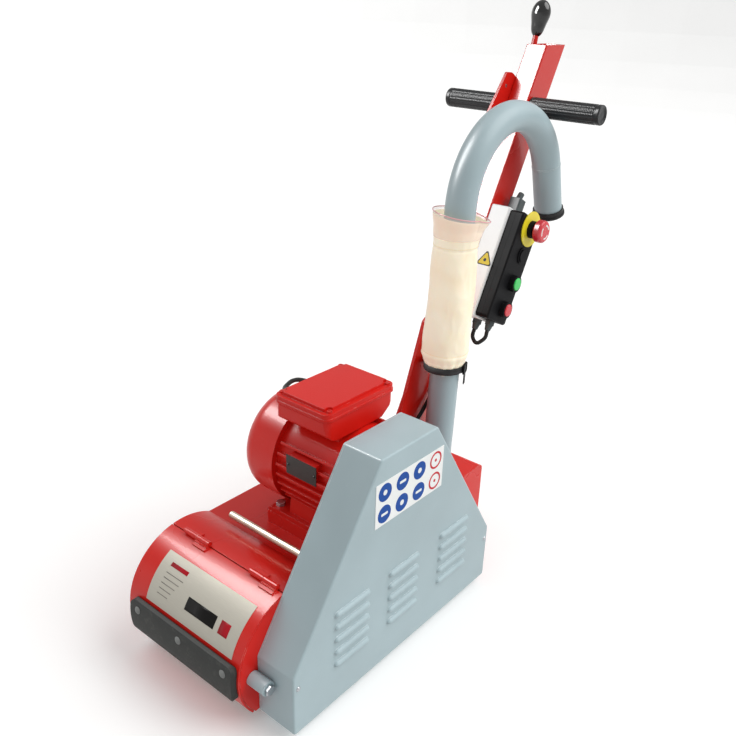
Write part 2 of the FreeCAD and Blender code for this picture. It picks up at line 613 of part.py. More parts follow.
def fan_impeller():
    plate = cyl_x(FAN_Y, FAN_Z, 60, 76, 79)
    shaft = cyl_x(FAN_Y, FAN_Z, FAN_SHAFT_R, 70, 176)
    hub = cyl_x(FAN_Y, FAN_Z, 14, 60, 79)
    blades = []
    for i in range(8):
        blade = box(42, 77, FAN_Y + 22, FAN_Y + 59, FAN_Z - 1.2, FAN_Z + 1.2)
        blade.rotate(V(0, FAN_Y + 22, FAN_Z), X_AXIS, 35)
        blade.rotate(V(0, FAN_Y, FAN_Z), X_AXIS, 45 * i)
        blades.append(blade.common(cyl_x(FAN_Y, FAN_Z, 60, 40, 80)))
    pulley_part = pulley(FAN_Y, FAN_Z, FAN_PULLEY_R, FAN_SHAFT_R, FAN_BELT_X, 15)
    return [union(plate, shaft, hub, *blades), pulley_part]


def dust_duct():
    """A flat suction duct from the drum chamber's rear wall to the eye of the fan."""
    run = box(5, FAN_X0, -20, 272, 100, 150)
    plenum = box(5, FAN_X0, 197, 272, 58, 150)
    outer = union(run, plenum)
    inner = union(box(7, FAN_X0 - 2, -30, 270, 102, 148), box(7, FAN_X0 - 2, 199, 270, 60, 148))
    eye = cyl_x(FAN_Y, FAN_Z, 32, FAN_X0 - 3, FAN_X0 + 1)
    return outer.cut([inner, eye, cyl_x(DRUM_Y, DRUM_Z, HOOD_R, -10, 50)])


def riser_direction():
    a = math.radians(RISER_LEAN)
    return V(0, math.sin(a), math.cos(a))


def riser_point(z):
    return V(PIPE_X, PIPE_FOOT_Y + (z - DECK) * math.tan(math.radians(RISER_LEAN)), z)


def pipe_straight(radius):
    """A long rod down the riser's axis, for cutting the holes that the riser goes through."""
    return Part.makeCylinder(radius, 100, riser_point(110), riser_direction())


def bend_centre():
    start = riser_point(BEND_START_Z)
    a = math.radians(RISER_LEAN)
    return start + V(0, math.cos(a), -math.sin(a)) * BEND_R


def bend_point(lean):
    """A point of the bend's centre line where its direction has turned to this lean from vertical."""
    a = math.radians(lean)
    return bend_centre() + V(0, -math.cos(a), math.sin(a)) * BEND_R


def outlet_direction():
    a = math.radians(180 - OUTLET_LEAN)
    return V(0, math.sin(a), math.cos(a))


def pipe_solid(radius):
    foot = riser_point(PIPE_FOOT_Z - 10)
    start = riser_point(BEND_START_Z)
    riser = Part.makeCylinder(radius, (start - foot).Length, foot, riser_direction())
    disc = Part.Face(Part.Wire(Part.makeCircle(radius, start, riser_direction())))
    bend = disc.revolve(bend_centre(), X_AXIS * -1, 180 - OUTLET_LEAN - RISER_LEAN)
    end = bend_point(180 - OUTLET_LEAN)
    leg = Part.makeCylinder(radius, OUTLET_LEG, end, outlet_direction())
    return union(riser, bend, leg)


def dust_pipe():
    flange = Part.makeCylinder(37, 4, V(PIPE_X, PIPE_FOOT_Y, DECK))
    end = bend_point(180 - OUTLET_LEAN)
    bead = Part.makeCylinder(PIPE_R + 0.5, 2.4, end - outlet_direction() * 1.2, outlet_direction())
    outer = union(pipe_solid(PIPE_R), flange, bead)
    below = box(0, 120, 200, 400, 60, PIPE_FOOT_Z)
    inner = pipe_solid(PIPE_R - PIPE_WALL)
    mouth = end + outlet_direction() * (OUTLET_LEG - 10)
    drain = Part.makeCylinder(PIPE_R - PIPE_WALL, 20, mouth, outlet_direction())
    return outer.cut([below, inner, drain])


def pipe_outlet_ring():
    """A rubber ring and lip on the outlet, where a hose or a bag is clamped on."""
    end = bend_point(180 - OUTLET_LEAN) + outlet_direction() * OUTLET_LEG
    back = outlet_direction() * -1
    band = Part.makeCylinder(PIPE_R + 2.5, 12, end, back)
    lip = Part.makeCylinder(PIPE_R + 4.5, 3.5, end, back)
    return union(band, lip).cut(Part.makeCylinder(PIPE_R, 30, end - back * 5, back))


def tapered_sleeve(z0, z1, lower, upper):
    """A bag section round the riser: a cone between two heights, hollow for the pipe."""
    start, end = riser_point(z0), riser_point(z1)
    cone = Part.makeCone(lower, upper, (end - start).Length, start, riser_direction())
    hole = Part.makeCylinder(PIPE_R + GAP, 600, riser_point(z0 - 60), riser_direction())
    return cone.cut(hole)


def dust_bag():
    pieces = []
    for (z0, r0), (z1, r1) in zip(BAG_SECTIONS, BAG_SECTIONS[1:]):
        start = riser_point(z0)
        span = (riser_point(z1) - start).Length
        if abs(r0 - r1) < 0.01:
            pieces.append(Part.makeCylinder(r0, span, start, riser_direction()))
        else:
            pieces.append(Part.makeCone(r0, r1, span, start, riser_direction()))
    hole = Part.makeCylinder(PIPE_R + GAP, 400, riser_point(300), riser_direction())
    return union(pieces[0], *pieces[1:]).cut(hole)


def bag_collar():
    return tapered_sleeve(612, 629, 42, 45)


# ---------------------------------------------------------------- mast, handlebar and lift lever

def mast_column():
    long = 900
    tube = soften(box(-MAST_HALF, MAST_HALF, 0, MAST_DEPTH, -long, 60), 2.5, V(0, 0, 1))
    core = box(-MAST_HALF + MAST_WALL, MAST_HALF - MAST_WALL, MAST_WALL, MAST_DEPTH - MAST_WALL, -long - 1, 61)
    holes = [cyl_x(BAR_W, BAR_S, BAR_R, -30, 30), cyl_x(LEVER_W, LEVER_S, 4, -30, PIVOT_END)]
    column = on_mast(tube.cut([core] + holes))
    return column.common(box(-50, 50, 0, 900, DECK, MAST_TOP.z))


def mast_gussets():
    """Two flat plates welded to the front of the mast's foot."""
    def front(z):
        return MAST_TOP.y + (z - MAST_TOP.z) * math.tan(math.radians(MAST_LEAN))
    right = slab_x(((206, DECK), (front(DECK), DECK), (front(505), 505), (front(505) - 20, 505), (300, 445)), 14, 20)
    left = slab_x(((238, DECK), (front(DECK), DECK), (front(440), 440), (front(440) - 16, 430), (276, 245)), -20, -14)
    return [right, left]


def lever_bracket():
    """The ear plate on the mast's left side that stiffens the handlebar's seat."""
    outline = ((30, -66), (0, -58), (-14, -58), (-28, -64), (-43, -146), (-20, -176), (0, -196), (30, -196))
    plate = soften(slab_x(outline, -25, -20), 6, X_AXIS)
    plate = plate.cut([cyl_x(BAR_W, BAR_S, BAR_R, -30, -10), cyl_x(-18, -84, 3, -30, -10)])
    return on_mast(plate)


def handlebar_tube():
    tube = ring_x(BAR_W, BAR_S, BAR_R, BAR_R - 2.5, -GRIP_END + 5, GRIP_END - 5)
    return on_mast(tube)


def handlebar_grips():
    grips = []
    for side, start in ((1, 20.5), (-1, 25.5)):
        body = cyl_x(BAR_W, BAR_S, GRIP_R - 1, start, GRIP_END)
        collars = [cyl_x(BAR_W, BAR_S, GRIP_R + 1.5, x, x + 4) for x in (start, GRIP_END - 9)]
        cap = cyl_x(BAR_W, BAR_S, GRIP_R, GRIP_END - 5, GRIP_END)
        rings = [cyl_x(BAR_W, BAR_S, GRIP_R, start + 14 + 12 * i, start + 18 + 12 * i) for i in range(9)]
        grip = union(body, cap, *(collars + rings))
        grip = grip.cut(cyl_x(BAR_W, BAR_S, BAR_R, start - 1, GRIP_END - 5))
        if side < 0:
            grip = grip.mirror(V(0, 0, 0), X_AXIS)
        grips.append(on_mast(grip))
    return grips


def lever_pivot():
    return mast_point(LEVER_X, LEVER_W, LEVER_S)


def lever_direction():
    a = math.radians(LEVER_LEAN)
    return V(0, math.sin(a), math.cos(a))


def crank_pin():
    """Centre of the lever's crank pin, as (w, s) on the mast, at rest."""
    a = math.radians(LEVER_THROW / 2)
    return LEVER_W + CRANK * math.cos(a), LEVER_S + CRANK * math.sin(a)


def lift_lever():
    pivot = lever_pivot()
    bar = Part.makeCylinder(5, 66, pivot + lever_direction() * 6, lever_direction())
    w, s = crank_pin()
    hub = cyl_x(LEVER_W, LEVER_S, 9.5, -16.5, -5)
    web = slab_x(((LEVER_W - 2, LEVER_S - 7), (w, s - 6), (w, s + 6), (LEVER_W - 2, LEVER_S + 7)), -13.5, -8.5)
    eye = cyl_x(w, s, 7, -14, -8)
    pin = cyl_x(w, s, 3, -9, -2.5)
    crank = on_mast(union(hub, web, eye, pin))
    bore = on_mast(cyl_x(LEVER_W, LEVER_S, 4.05, -20, 0))
    return union(bar, crank).cut(bore)


def lever_knob():
    """A pear-shaped ball knob, turned about the lever's axis."""
    outline = ((0, 5.0), (4, 8.5), (20, 13.0), (36, 16.5), (50, 13.5), (58, 6.0), (60, 0))
    curve = Part.BSplineCurve()
    curve.interpolate([V(r, 0, h) for h, r in outline])
    edges = [curve.toShape(), Part.makeLine(V(0, 0, 60), V(0, 0, 0)), Part.makeLine(V(0, 0, 0), V(5, 0, 0))]
    knob = Part.Face(Part.Wire(Part.__sortEdges__(edges))).revolve(V(0, 0, 0), V(0, 0, 1), 360)
    knob = knob.cut(Part.makeCylinder(5, 17, V(0, 0, -1)))
    place = lever_pivot() + lever_direction() * 56
    knob.Placement = FreeCAD.Placement(place, FreeCAD.Rotation(V(0, 0, 1), lever_direction()))
    return knob


def lift_rod():
    w, s = crank_pin()
    tip_w, tip_s = arm_tip()
    rod = Part.makeCylinder(ROD_R, (s - 24) - (tip_s + 22), V(ROD_X, w, tip_s + 22))
    top = box(ROD_X - 2, ROD_X + 2, w - 9, w + 9, s - 30, s + 7)
    slot = union(cyl_x(w - 1.8, s, 3.5, -10, 0), cyl_x(w + 1.0, s, 3.5, -10, 0),
                 box(-10, 0, w - 1.8, w + 1, s - 3.5, s + 3.5))
    bottom = box(ROD_X - 2, ROD_X + 2, w - 6, w + 6, tip_s - 6, tip_s + 28)
    pin = cyl_x(w, tip_s, 3, -16, ROD_X)
    return on_mast(union(rod, top.cut(slot), bottom, pin))


def arm_tip():
    """Where the pull rod's lower pin works the wheel carriage, as (w, s) on the mast."""
    return crank_pin()[0], -825.0


# ---------------------------------------------------------------- wheels

def wheel_carriage():
    shaft = cyl_x(CARRIAGE_Y, CARRIAGE_Z, CARRIAGE_R, BODY_LEFT + SHEET + 0.5, BODY_RIGHT - SHEET - 0.5)
    tip = mast_point(0, *arm_tip())
    arm = slab_x(((CARRIAGE_Y - 4, CARRIAGE_Z - 10), (tip.y + 10, tip.z - 14), (tip.y + 12, tip.z + 4),
                  (tip.y - 14, tip.z + 18), (CARRIAGE_Y - 4, CARRIAGE_Z + 12)), -14, -8)
    pieces = [shaft, arm, cyl_x(CARRIAGE_Y, CARRIAGE_Z, 13, -20, -2)]
    for x0, x1, stub in ((-84, -78, -113), (71, 77, 106)):
        plate = slab_x(((CARRIAGE_Y - 10, CARRIAGE_Z - 10), (WHEEL_Y + 8, 36), (WHEEL_Y + 11, 52),
                        (CARRIAGE_Y - 4, CARRIAGE_Z + 13)), x0, x1)
        axle = cyl_x(WHEEL_Y, wheel_height(), 6, min(x0, stub), max(x1, stub))
        pieces += [plate, axle]
    body = union(pieces[0], *pieces[1:])
    turn = mast_point(0, arm_tip()[0] - 15, arm_tip()[1])
    slot = union(cyl_x(tip.y, tip.z, 3.6, -20, 0), cyl_x(turn.y, turn.z, 3.6, -20, 0))
    bridge = on_mast(box(-20, 0, arm_tip()[0] - 15, arm_tip()[0], arm_tip()[1] - 3.6, arm_tip()[1] + 3.6))
    return body.cut([slot, bridge])


def wheel_height():
    return WHEEL_R + WHEEL_CLEAR


def lift_wheel(x0):
    y, z = WHEEL_Y, wheel_height()
    tyre = soften_rim(ring_x(y, z, WHEEL_R, 32, x0, x0 + 24))
    hub = ring_x(y, z, 32, 6.05, x0 + 4, x0 + 20)
    return [tyre, hub]


def soften_rim(ring):
    edges = [e for e in ring.Edges if isinstance(e.Curve, Part.Circle) and e.Curve.Radius > 24]
    return ring.makeFillet(3, edges)


def caster_fork():
    plate = Part.makeCylinder(20, 4, V(CASTER_X, CASTER_Y, 59.5))
    stem = Part.makeCylinder(5.95, 20, V(CASTER_X, CASTER_Y, 60))
    nut = hexagon_rod(V(CASTER_X, CASTER_Y, 68.5), V(0, 0, 1), 18, 8)
    y = CASTER_Y + CASTER_TRAIL
    cheeks = []
    for x0 in (CASTER_X - 13.5, CASTER_X + 10.5):
        cheeks.append(slab_x(((CASTER_Y - 12, 60), (CASTER_Y + 14, 60), (y + 8, CASTER_R + 2), (y, CASTER_R - 8),
                              (y - 8, CASTER_R)), x0, x0 + 3))
    axle = cyl_x(y, CASTER_R, 4, CASTER_X - 13.5, CASTER_X + 13.5)
    return union(plate, stem, nut, axle, *cheeks)


def caster_wheel():
    y = CASTER_Y + CASTER_TRAIL
    ring = ring_x(y, CASTER_R, CASTER_R, 4.05, CASTER_X - 10, CASTER_X + 10)
    edges = [e for e in ring.Edges if isinstance(e.Curve, Part.Circle) and e.Curve.Radius > 20]
    return ring.makeFillet(3, edges)


# ---------------------------------------------------------------- switch gear

def switch_enclosure():
    case = box(MAST_HALF, ENCLOSURE_X1, 0, ENCLOSURE_W1, ENCLOSURE_S0, ENCLOSURE_S1)
    case = soften(case, 3)
    hollow = box(MAST_HALF + 2, ENCLOSURE_X1 - 2, 2, ENCLOSURE_W1 - 2, ENCLOSURE_S0 + 2, ENCLOSURE_S1 - 2)
    return on_mast(case.cut(hollow))


def motor_contactor():
    """The contactor and overload relay on the enclosure's back wall."""
    relay = box(24, 52, 8, 52, -400, -330)
    rail = box(MAST_HALF + 2, 24, 14, 46, -420, -310)
    return on_mast(union(relay, rail))


def station_outline(x0, x1):
    return soften(box(x0, x1, STATION_W0, STATION_W1, STATION_S0, STATION_S1), 6, X_AXIS)


def station_base():
    tray = station_outline(ENCLOSURE_X1, STATION_SPLIT)
    hollow = box(ENCLOSURE_X1 + 2.5, STATION_SPLIT + 1, STATION_W0 + 3, STATION_W1 - 3, STATION_S0 + 3, STATION_S1 - 3)
    return on_mast(tray.cut(hollow))


def station_cover():
    lid = station_outline(STATION_SPLIT, STATION_FACE)
    face = [e for e in lid.Edges if abs(e.CenterOfMass.x - STATION_FACE) < 0.01]
    lid = lid.makeFillet(3, face)
    hollow = box(STATION_SPLIT - 1, STATION_FACE - 3, STATION_W0 + 3, STATION_W1 - 3, STATION_S0 + 3, STATION_S1 - 3)
    holes = [cyl_x(BUTTON_W, s, 11.4, STATION_FACE - 5, STATION_FACE + 1) for s in (START_S, STOP_S)]
    holes.append(cyl_x(ESTOP_W, ESTOP_S, 8.4, STATION_FACE - 5, STATION_FACE + 1))
    return on_mast(lid.cut([hollow] + holes))


def estop_ring():
    return on_mast(ring_x(ESTOP_W, ESTOP_S, 31, 15, STATION_FACE, STATION_FACE + 1.5))


def station_bezels():
    """Black collars round the buttons, and the blank plug between them."""
    collar = ring_x(ESTOP_W, ESTOP_S, 15, 8.4, STATION_FACE, STATION_FACE + 10)
    rings = [ring_x(BUTTON_W, s, COLLAR_R, 11.4, STATION_FACE, STATION_FACE + 10) for s in (START_S, STOP_S)]
    plug = cyl_x(BUTTON_W, PLUG_S, COLLAR_R, STATION_FACE, STATION_FACE + 2)
    plug = union(plug, cyl_x(BUTTON_W, PLUG_S, 11, STATION_FACE, STATION_FACE + 4))
    return [on_mast(piece) for piece in [collar, plug] + rings]


def push_button(s):
    """A cap with a retaining flange inside the cover; it travels 3 mm."""
    x = STATION_FACE
    cap = cyl_x(BUTTON_W, s, BUTTON_R, x - 2, x + 12)
    rim = [e for e in cap.Edges if abs(e.CenterOfMass.x - (x + 12)) < 0.01]
    cap = cap.makeFillet(1.5, rim)
    return on_mast(union(cap, cyl_x(BUTTON_W, s, 5, x - 8, x)))


def estop_stem():
    x = STATION_FACE
    return on_mast(union(cyl_x(ESTOP_W, ESTOP_S, 8, x - 6, x + 13), cyl_x(ESTOP_W, ESTOP_S, 5, x + 12, x + 20)))


def estop_cap():
    """The mushroom head; it turns on the stem to release."""
    x = STATION_FACE + 14
    head = cyl_x(ESTOP_W, ESTOP_S, 19.5, x, x + 15)
    front = [e for e in head.Edges if abs(e.CenterOfMass.x - (x + 15)) < 0.01]
    head = head.makeFillet(5, front)
    back = [e for e in head.Edges if abs(e.CenterOfMass.x - x) < 0.01]
    head = head.makeFillet(3, back)
    return on_mast(head.cut(cyl_x(ESTOP_W, ESTOP_S, 5.05, x - 1, x + 6.3)))


def gland(place, direction, radius):
    """A cable gland: hexagon body, dome nut and a bore for its lead."""
    nut = hexagon_rod(place, direction, 2 * radius, 8)
    dome = Part.makeCone(radius - 1, LEAD_R + 1.5, 10, place + direction * 8, direction)
    return union(nut, dome).cut(Part.makeCylinder(LEAD_R, 40, place - direction * 5, direction))


def gland_places():
    """Where the two leads begin and end: place and outward direction of each gland."""
    down = mast_point(0, 0, -1) - mast_point(0, 0, 0)
    return {
        "station": (mast_point(67, 48, STATION_S0), down),
        "loop": (mast_point(44, 44, ENCLOSURE_S0), down),
        "motor_lead": (mast_point(31, 16, ENCLOSURE_S0), down),
        "terminal": (V(-8, 30, 392), V(-1, 0, 0)),
    }


def cable_glands():
    return [gland(place, direction, GLAND_R) for place, direction in gland_places().values()]


def inlet_connector():
    """The mains inlet on top of the enclosure, with its cable socket left empty."""
    body = soften(box(30, 52, 34, 56, ENCLOSURE_S1, ENCLOSURE_S1 + 26), 3, V(0, 0, 1))
    neck = Part.makeCylinder(5.5, 14, V(41, 45, ENCLOSURE_S1 + 24), V(0, 0.35, 0.94))
    socket = Part.makeCylinder(3.5, 12, V(41, 49, ENCLOSURE_S1 + 33), V(0, 0.35, 0.94))
    return on_mast(union(body, neck).cut(socket))


def lead(points):
    """A round cable through the points: straight runs joined by tangent arcs."""
    edges = []
    here = points[0]
    for i in range(1, len(points) - 1):
        back, ahead = points[i - 1] - points[i], points[i + 1] - points[i]
        reach = 0.45 * min(back.Length, ahead.Length)
        into = points[i] + back.normalize() * reach
        out = points[i] + ahead.normalize() * reach
        half = back.getAngle(ahead) / 2
        radius = reach * math.tan(half)
        towards = (back + ahead).normalize()
        centre = points[i] + towards * (reach / math.cos(half))
        middle = centre - towards * radius
        edges.append(Part.makeLine(here, into))
        edges.append(Part.Arc(into, middle, out).toShape())
        here = out
    edges.append(Part.makeLine(here, points[-1]))
    path = Part.Wire(edges)
    profile = Part.Wire(Part.makeCircle(LEAD_R, points[0], points[1] - points[0]))
    return path.makePipeShell([profile], True, False)


def control_leads():
    places = gland_places()
    ends = {name: place + direction * 18 for name, (place, direction) in places.items()}
    down = places["station"][1]
    station, loop = ends["station"], ends["loop"]
    dip = (station + loop) * 0.5 + down * 26
    first = lead([station, station + down * 14 + V(2, 0, 0), dip + V(0, 0, -2), loop + down * 14, loop])
    start = ends["motor_lead"]
    second = lead([
        start,
        start + down * 22,
        V(28, 362, 372),
        V(27, 330, 312),
        V(27, 288, 268),
        V(28, 232, 240),
        V(26, 186, 250),
        V(4, 166, 276),
        V(-26, 158, 330),
        V(-52, 124, 366),
        V(-64, 76, 389),
        V(-50, 38, 388),
        ends["terminal"],
    ])
    return [first, second]


def lift_bar():
    return soften_ends(cyl_x(-59, DECK + 20, 5.5, -70, BODY_RIGHT - SHEET), 2)


def soften_ends(rod, radius):
    edges = [e for e in rod.Edges if isinstance(e.Curve, Part.Circle) and e.CenterOfMass.x < 0]
    return rod.makeFillet(radius, edges)


os.makedirs("parts", exist_ok=True)
write("chassis", chassis())
write("hood_hinges", *hood_hinges())
write("lift_bar", lift_bar())
write("motor_base", motor_base())
write("motor_stator_housing", motor_stator())
write("stator_core", stator_core())
write("motor_end_shields", *motor_end_shields())
write("motor_fan_cowl", motor_fan_cowl())
write("motor_nameplate", motor_nameplate())
write("terminal_box", terminal_box())
write("terminal_box_lid", terminal_box_lid(), *lid_screws())
write("run_capacitor", run_capacitor())
write("belt_guard", belt_guard())
write("guard_backplate", guard_backplate())
write("guard_label", guard_label())
write("frame_fasteners", *(frame_fasteners() + motor_fasteners()))
write("drum_belt", belt(MOTOR_Y, MOTOR_Z, MOTOR_DRUM_R, DRUM_Y, DRUM_Z, DRUM_PULLEY_R, DRUM_BELT_X))
write("fan_belt", belt(MOTOR_Y, MOTOR_Z, MOTOR_FAN_R, FAN_Y, FAN_Z, FAN_PULLEY_R, FAN_BELT_X))
write("shaft_bearings", *shaft_bearings())
write("fan_housing", fan_housing())
write("dust_duct", dust_duct())
write("dust_pipe", dust_pipe())
write("pipe_outlet_ring", pipe_outlet_ring())
write("dust_bag", dust_bag())
write("bag_collar", bag_collar())
write("mast_column", mast_column())
write("mast_gussets", *mast_gussets())
write("lever_bracket", lever_bracket())
write("handlebar_tube", handlebar_tube())
write("handlebar_grips", *handlebar_grips())
write("switch_enclosure", switch_enclosure())
write("motor_contactor", motor_contactor())
write("station_base", station_base())
write("station_cover", station_cover())
write("estop_ring", estop_ring())
write("station_bezels", *station_bezels())
write("cable_glands", *cable_glands())
write("inlet_connector", inlet_connector())
write("control_leads", *control_leads())
write("hood_flap", hood_flap())
write("hood_plate", hood_plate())
write("bumper", bumper())
write("bumper_screws", *bumper_screws())
write("drum_core", drum_core())
write("drum_sleeve", drum_sleeve())
write("drum_pulley", pulley(DRUM_Y, DRUM_Z, DRUM_PULLEY_R, DRUM_SHAFT_R, DRUM_BELT_X, 22))
write("motor_rotor", motor_rotor(), motor_fan(), motor_pulley())
write("fan_impeller", *fan_impeller())
write("lift_lever", lift_lever())
write("lever_knob", lever_knob())
write("lift_rod", lift_rod())
write("wheel_carriage", wheel_carriage())
write("lift_wheel_left", *lift_wheel(-112))
write("lift_wheel_right", *lift_wheel(81))
write("caster_fork", caster_fork())
write("caster_wheel", caster_wheel())
write("start_button", push_button(START_S))
write("stop_button", push_button(STOP_S))
write("estop_stem", estop_stem())
write("estop_cap", estop_cap())
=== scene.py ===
import json
import math

import bmesh
import bpy
from mathutils import Matrix, Vector, noise


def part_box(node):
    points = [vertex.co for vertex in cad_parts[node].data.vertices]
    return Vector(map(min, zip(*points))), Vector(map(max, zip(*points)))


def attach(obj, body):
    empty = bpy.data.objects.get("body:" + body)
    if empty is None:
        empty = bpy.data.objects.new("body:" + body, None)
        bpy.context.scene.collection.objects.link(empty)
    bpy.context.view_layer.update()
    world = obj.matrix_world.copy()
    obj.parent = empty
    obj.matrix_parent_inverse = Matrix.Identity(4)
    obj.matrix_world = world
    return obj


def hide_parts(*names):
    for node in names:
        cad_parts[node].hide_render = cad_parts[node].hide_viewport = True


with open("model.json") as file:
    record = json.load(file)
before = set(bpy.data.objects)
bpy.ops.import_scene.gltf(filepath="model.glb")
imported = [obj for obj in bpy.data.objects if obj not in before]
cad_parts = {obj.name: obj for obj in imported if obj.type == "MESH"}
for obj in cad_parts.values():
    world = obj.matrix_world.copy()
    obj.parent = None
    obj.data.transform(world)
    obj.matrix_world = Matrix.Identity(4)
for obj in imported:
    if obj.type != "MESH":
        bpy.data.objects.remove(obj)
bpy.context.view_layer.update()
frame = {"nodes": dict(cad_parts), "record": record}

MM = 0.001
MAST_LEAN = math.radians(27.5)
MAST_UP = Vector((0, math.sin(MAST_LEAN), math.cos(MAST_LEAN)))
MAST_BACK = Vector((0, math.cos(MAST_LEAN), -math.sin(MAST_LEAN)))
RIGHT = Vector((1, 0, 0))


def middle(node):
    low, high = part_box(node)
    return (low + high) / 2


# ---------------------------------------------------------------- camera, light and floor

def make_camera():
    data = bpy.data.cameras.new("view_camera")
    data.lens = 39.69
    data.sensor_width = 36
    data.shift_x = -0.0257
    data.shift_y = 0.0251
    data.clip_end = 100
    camera = bpy.data.objects.new("view_camera", data)
    bpy.context.scene.collection.objects.link(camera)
    right = Vector((0.7731, 0.6333, 0.0357))
    up = Vector((-0.2990, 0.3141, 0.9011))
    back = Vector((0.5595, -0.7073, 0.4322))
    turn = Matrix((right, up, back)).transposed().to_4x4()
    camera.matrix_world = Matrix.Translation((0.7465, -0.9626, 0.9316)) @ turn
    bpy.context.scene.camera = camera


def glare_panel(name, place, target, width, height, watts):
    """A bright window that shows only as a reflection."""
    data = bpy.data.lights.new(name, "AREA")
    data.shape = "RECTANGLE"
    data.size = width
    data.size_y = height
    data.energy = watts
    lamp = bpy.data.objects.new(name, data)
    bpy.context.scene.collection.objects.link(lamp)
    look = Vector(target) - Vector(place)
    lamp.matrix_world = Matrix.Translation(place) @ look.to_track_quat("-Z", "Y").to_matrix().to_4x4()
    lamp.visible_camera = False
    lamp.visible_diffuse = False


def make_lights():
    data = bpy.data.lights.new("overcast_sky", "SUN")
    data.energy = 1.95
    data.angle = math.radians(50)
    sky = bpy.data.objects.new("overcast_sky", data)
    bpy.context.scene.collection.objects.link(sky)
    sky.matrix_world = Vector((0.55, 0.42, 0.72)).to_track_quat("Z", "Y").to_matrix().to_4x4()
    upper_mast = middle("mast_column") + MAST_UP * 0.12
    glare = Vector((-0.49, -0.57, 0.66)).normalized()
    glare_panel("window_glare", upper_mast + glare * 1.3, upper_mast, 0.55, 0.95, 48)
    world = bpy.data.worlds.new("studio")
    world.use_nodes = True
    back = world.node_tree.nodes["Background"]
    back.inputs["Color"].default_value = (1.0, 1.0, 1.0, 1)
    back.inputs["Strength"].default_value = 0.60
    bpy.context.scene.world = world
    bpy.context.scene.view_settings.view_transform = "Standard"


# ---------------------------------------------------------------- materials

def linear(colour):
    """An sRGB hex colour as linear RGBA."""
    parts = [int(colour[i:i + 2], 16) / 255 for i in (0, 2, 4)]
    return tuple(c / 12.92 if c <= 0.04045 else ((c + 0.055) / 1.055) ** 2.4 for c in parts) + (1.0,)


def add(tree, kind, inputs=None, **settings):
    """Adds one shader node. An input given as a socket is linked, and any other is set."""
    node = tree.nodes.new("ShaderNode" + kind)
    for name, value in settings.items():
        setattr(node, name, value)
    for name, value in (inputs or {}).items():
        socket = node.inputs[name]
        if isinstance(value, bpy.types.NodeSocket):
            tree.links.new(value, socket)
        else:
            socket.default_value = value
    return node


def start(name):
    made = bpy.data.materials.new(name)
    made.use_nodes = True
    tree = made.node_tree
    return made, tree, tree.nodes["Principled BSDF"], add(tree, "TexCoord").outputs["Object"]


def fill(tree, shader, **inputs):
    for name, value in inputs.items():
        socket = shader.inputs[name.replace("_", " ")]
        if isinstance(value, bpy.types.NodeSocket):
            tree.links.new(value, socket)
        else:
            socket.default_value = value


def paint(name, colour, worn, roughness, grain_mm, grain_height, coat=0.0, edge_mm=1.2, dirt=0.25, gloss=0.5,
          rub=0.52):
    """Paint on steel: an orange-peel skin, a little fading, rubbed edges and fine scuffs."""
    made, tree, shader, place = start(name)
    rounded = add(tree, "Bevel", {"Radius": edge_mm * MM}, samples=4).outputs["Normal"]
    flat = add(tree, "NewGeometry").outputs["Normal"]
    facing = add(tree, "VectorMath", {0: rounded, 1: flat}, operation="DOT_PRODUCT").outputs["Value"]
    edge = add(tree, "MapRange", {"Value": facing, "From Min": 0.985, "From Max": 0.90}).outputs["Result"]
    chips = add(tree, "TexNoise", {"Vector": place, "Scale": 1000 / 22, "Detail": 6.0, "Roughness": 0.7})
    chip_mask = add(tree, "MapRange", {"Value": chips.outputs["Fac"], "From Min": rub,
                                       "From Max": rub + 0.14})
    rubbed = add(tree, "Math", {0: edge, 1: chip_mask.outputs["Result"]}, operation="MULTIPLY")
    fade = add(tree, "TexNoise", {"Vector": place, "Scale": 1000 / 170, "Detail": 3.0})
    shade = add(tree, "MapRange", {"Value": fade.outputs["Fac"], "From Min": 0.3, "From Max": 0.7,
                                   "To Min": 1 - dirt * 0.35, "To Max": 1 + dirt * 0.2})
    tinted = add(tree, "HueSaturation", {"Color": linear(colour), "Value": shade.outputs["Result"]})
    scuffs = add(tree, "TexNoise", {"Vector": place, "Scale": 1000 / 9, "Detail": 8.0, "Roughness": 0.75})
    scuff_mask = add(tree, "MapRange", {"Value": scuffs.outputs["Fac"], "From Min": 0.60, "From Max": 0.80,
                                        "To Max": dirt})
    dulled = add(tree, "MixRGB", {"Fac": scuff_mask.outputs["Result"], "Color1": tinted.outputs["Color"],
                                  "Color2": linear(worn)})
    colour_out = add(tree, "MixRGB", {"Fac": rubbed.outputs["Value"], "Color1": dulled.outputs["Color"],
                                      "Color2": linear(worn)})
    smear = add(tree, "MapRange", {"Value": fade.outputs["Fac"], "To Min": roughness * 0.8,
                                   "To Max": roughness * 1.35})
    peel = add(tree, "TexNoise", {"Vector": place, "Scale": 1000 / grain_mm, "Detail": 2.0})
    bumped = add(tree, "Bump", {"Height": peel.outputs["Fac"], "Distance": grain_height * MM,
                                "Strength": 0.6, "Normal": rounded})
    fill(tree, shader, Base_Color=colour_out.outputs["Color"], Roughness=smear.outputs["Result"],
         Normal=bumped.outputs["Normal"])
    shader.inputs["IOR"].default_value = 1.5
    shader.inputs["Specular IOR Level"].default_value = gloss
    if coat:
        shader.inputs["Coat Weight"].default_value = coat
        shader.inputs["Coat Roughness"].default_value = 0.06
    return made


def red_enamel():
    # Air-drying gloss enamel sprayed on folded sheet: wet-looking highlights with a faint orange peel.
    return paint("red_gloss_enamel", "DC2016", "E88A80", 0.26, 3.0, 0.05, coat=0.08, dirt=0.12, gloss=0.26)


def mast_enamel():
    # The same red on the drawn mast tube, which is smoother: it mirrors the window as a white band.
    return paint("red_enamel_on_tube", "D82014", "F2B8B0", 0.24, 3.0, 0.02, coat=0.3, dirt=0.08, gloss=0.42)


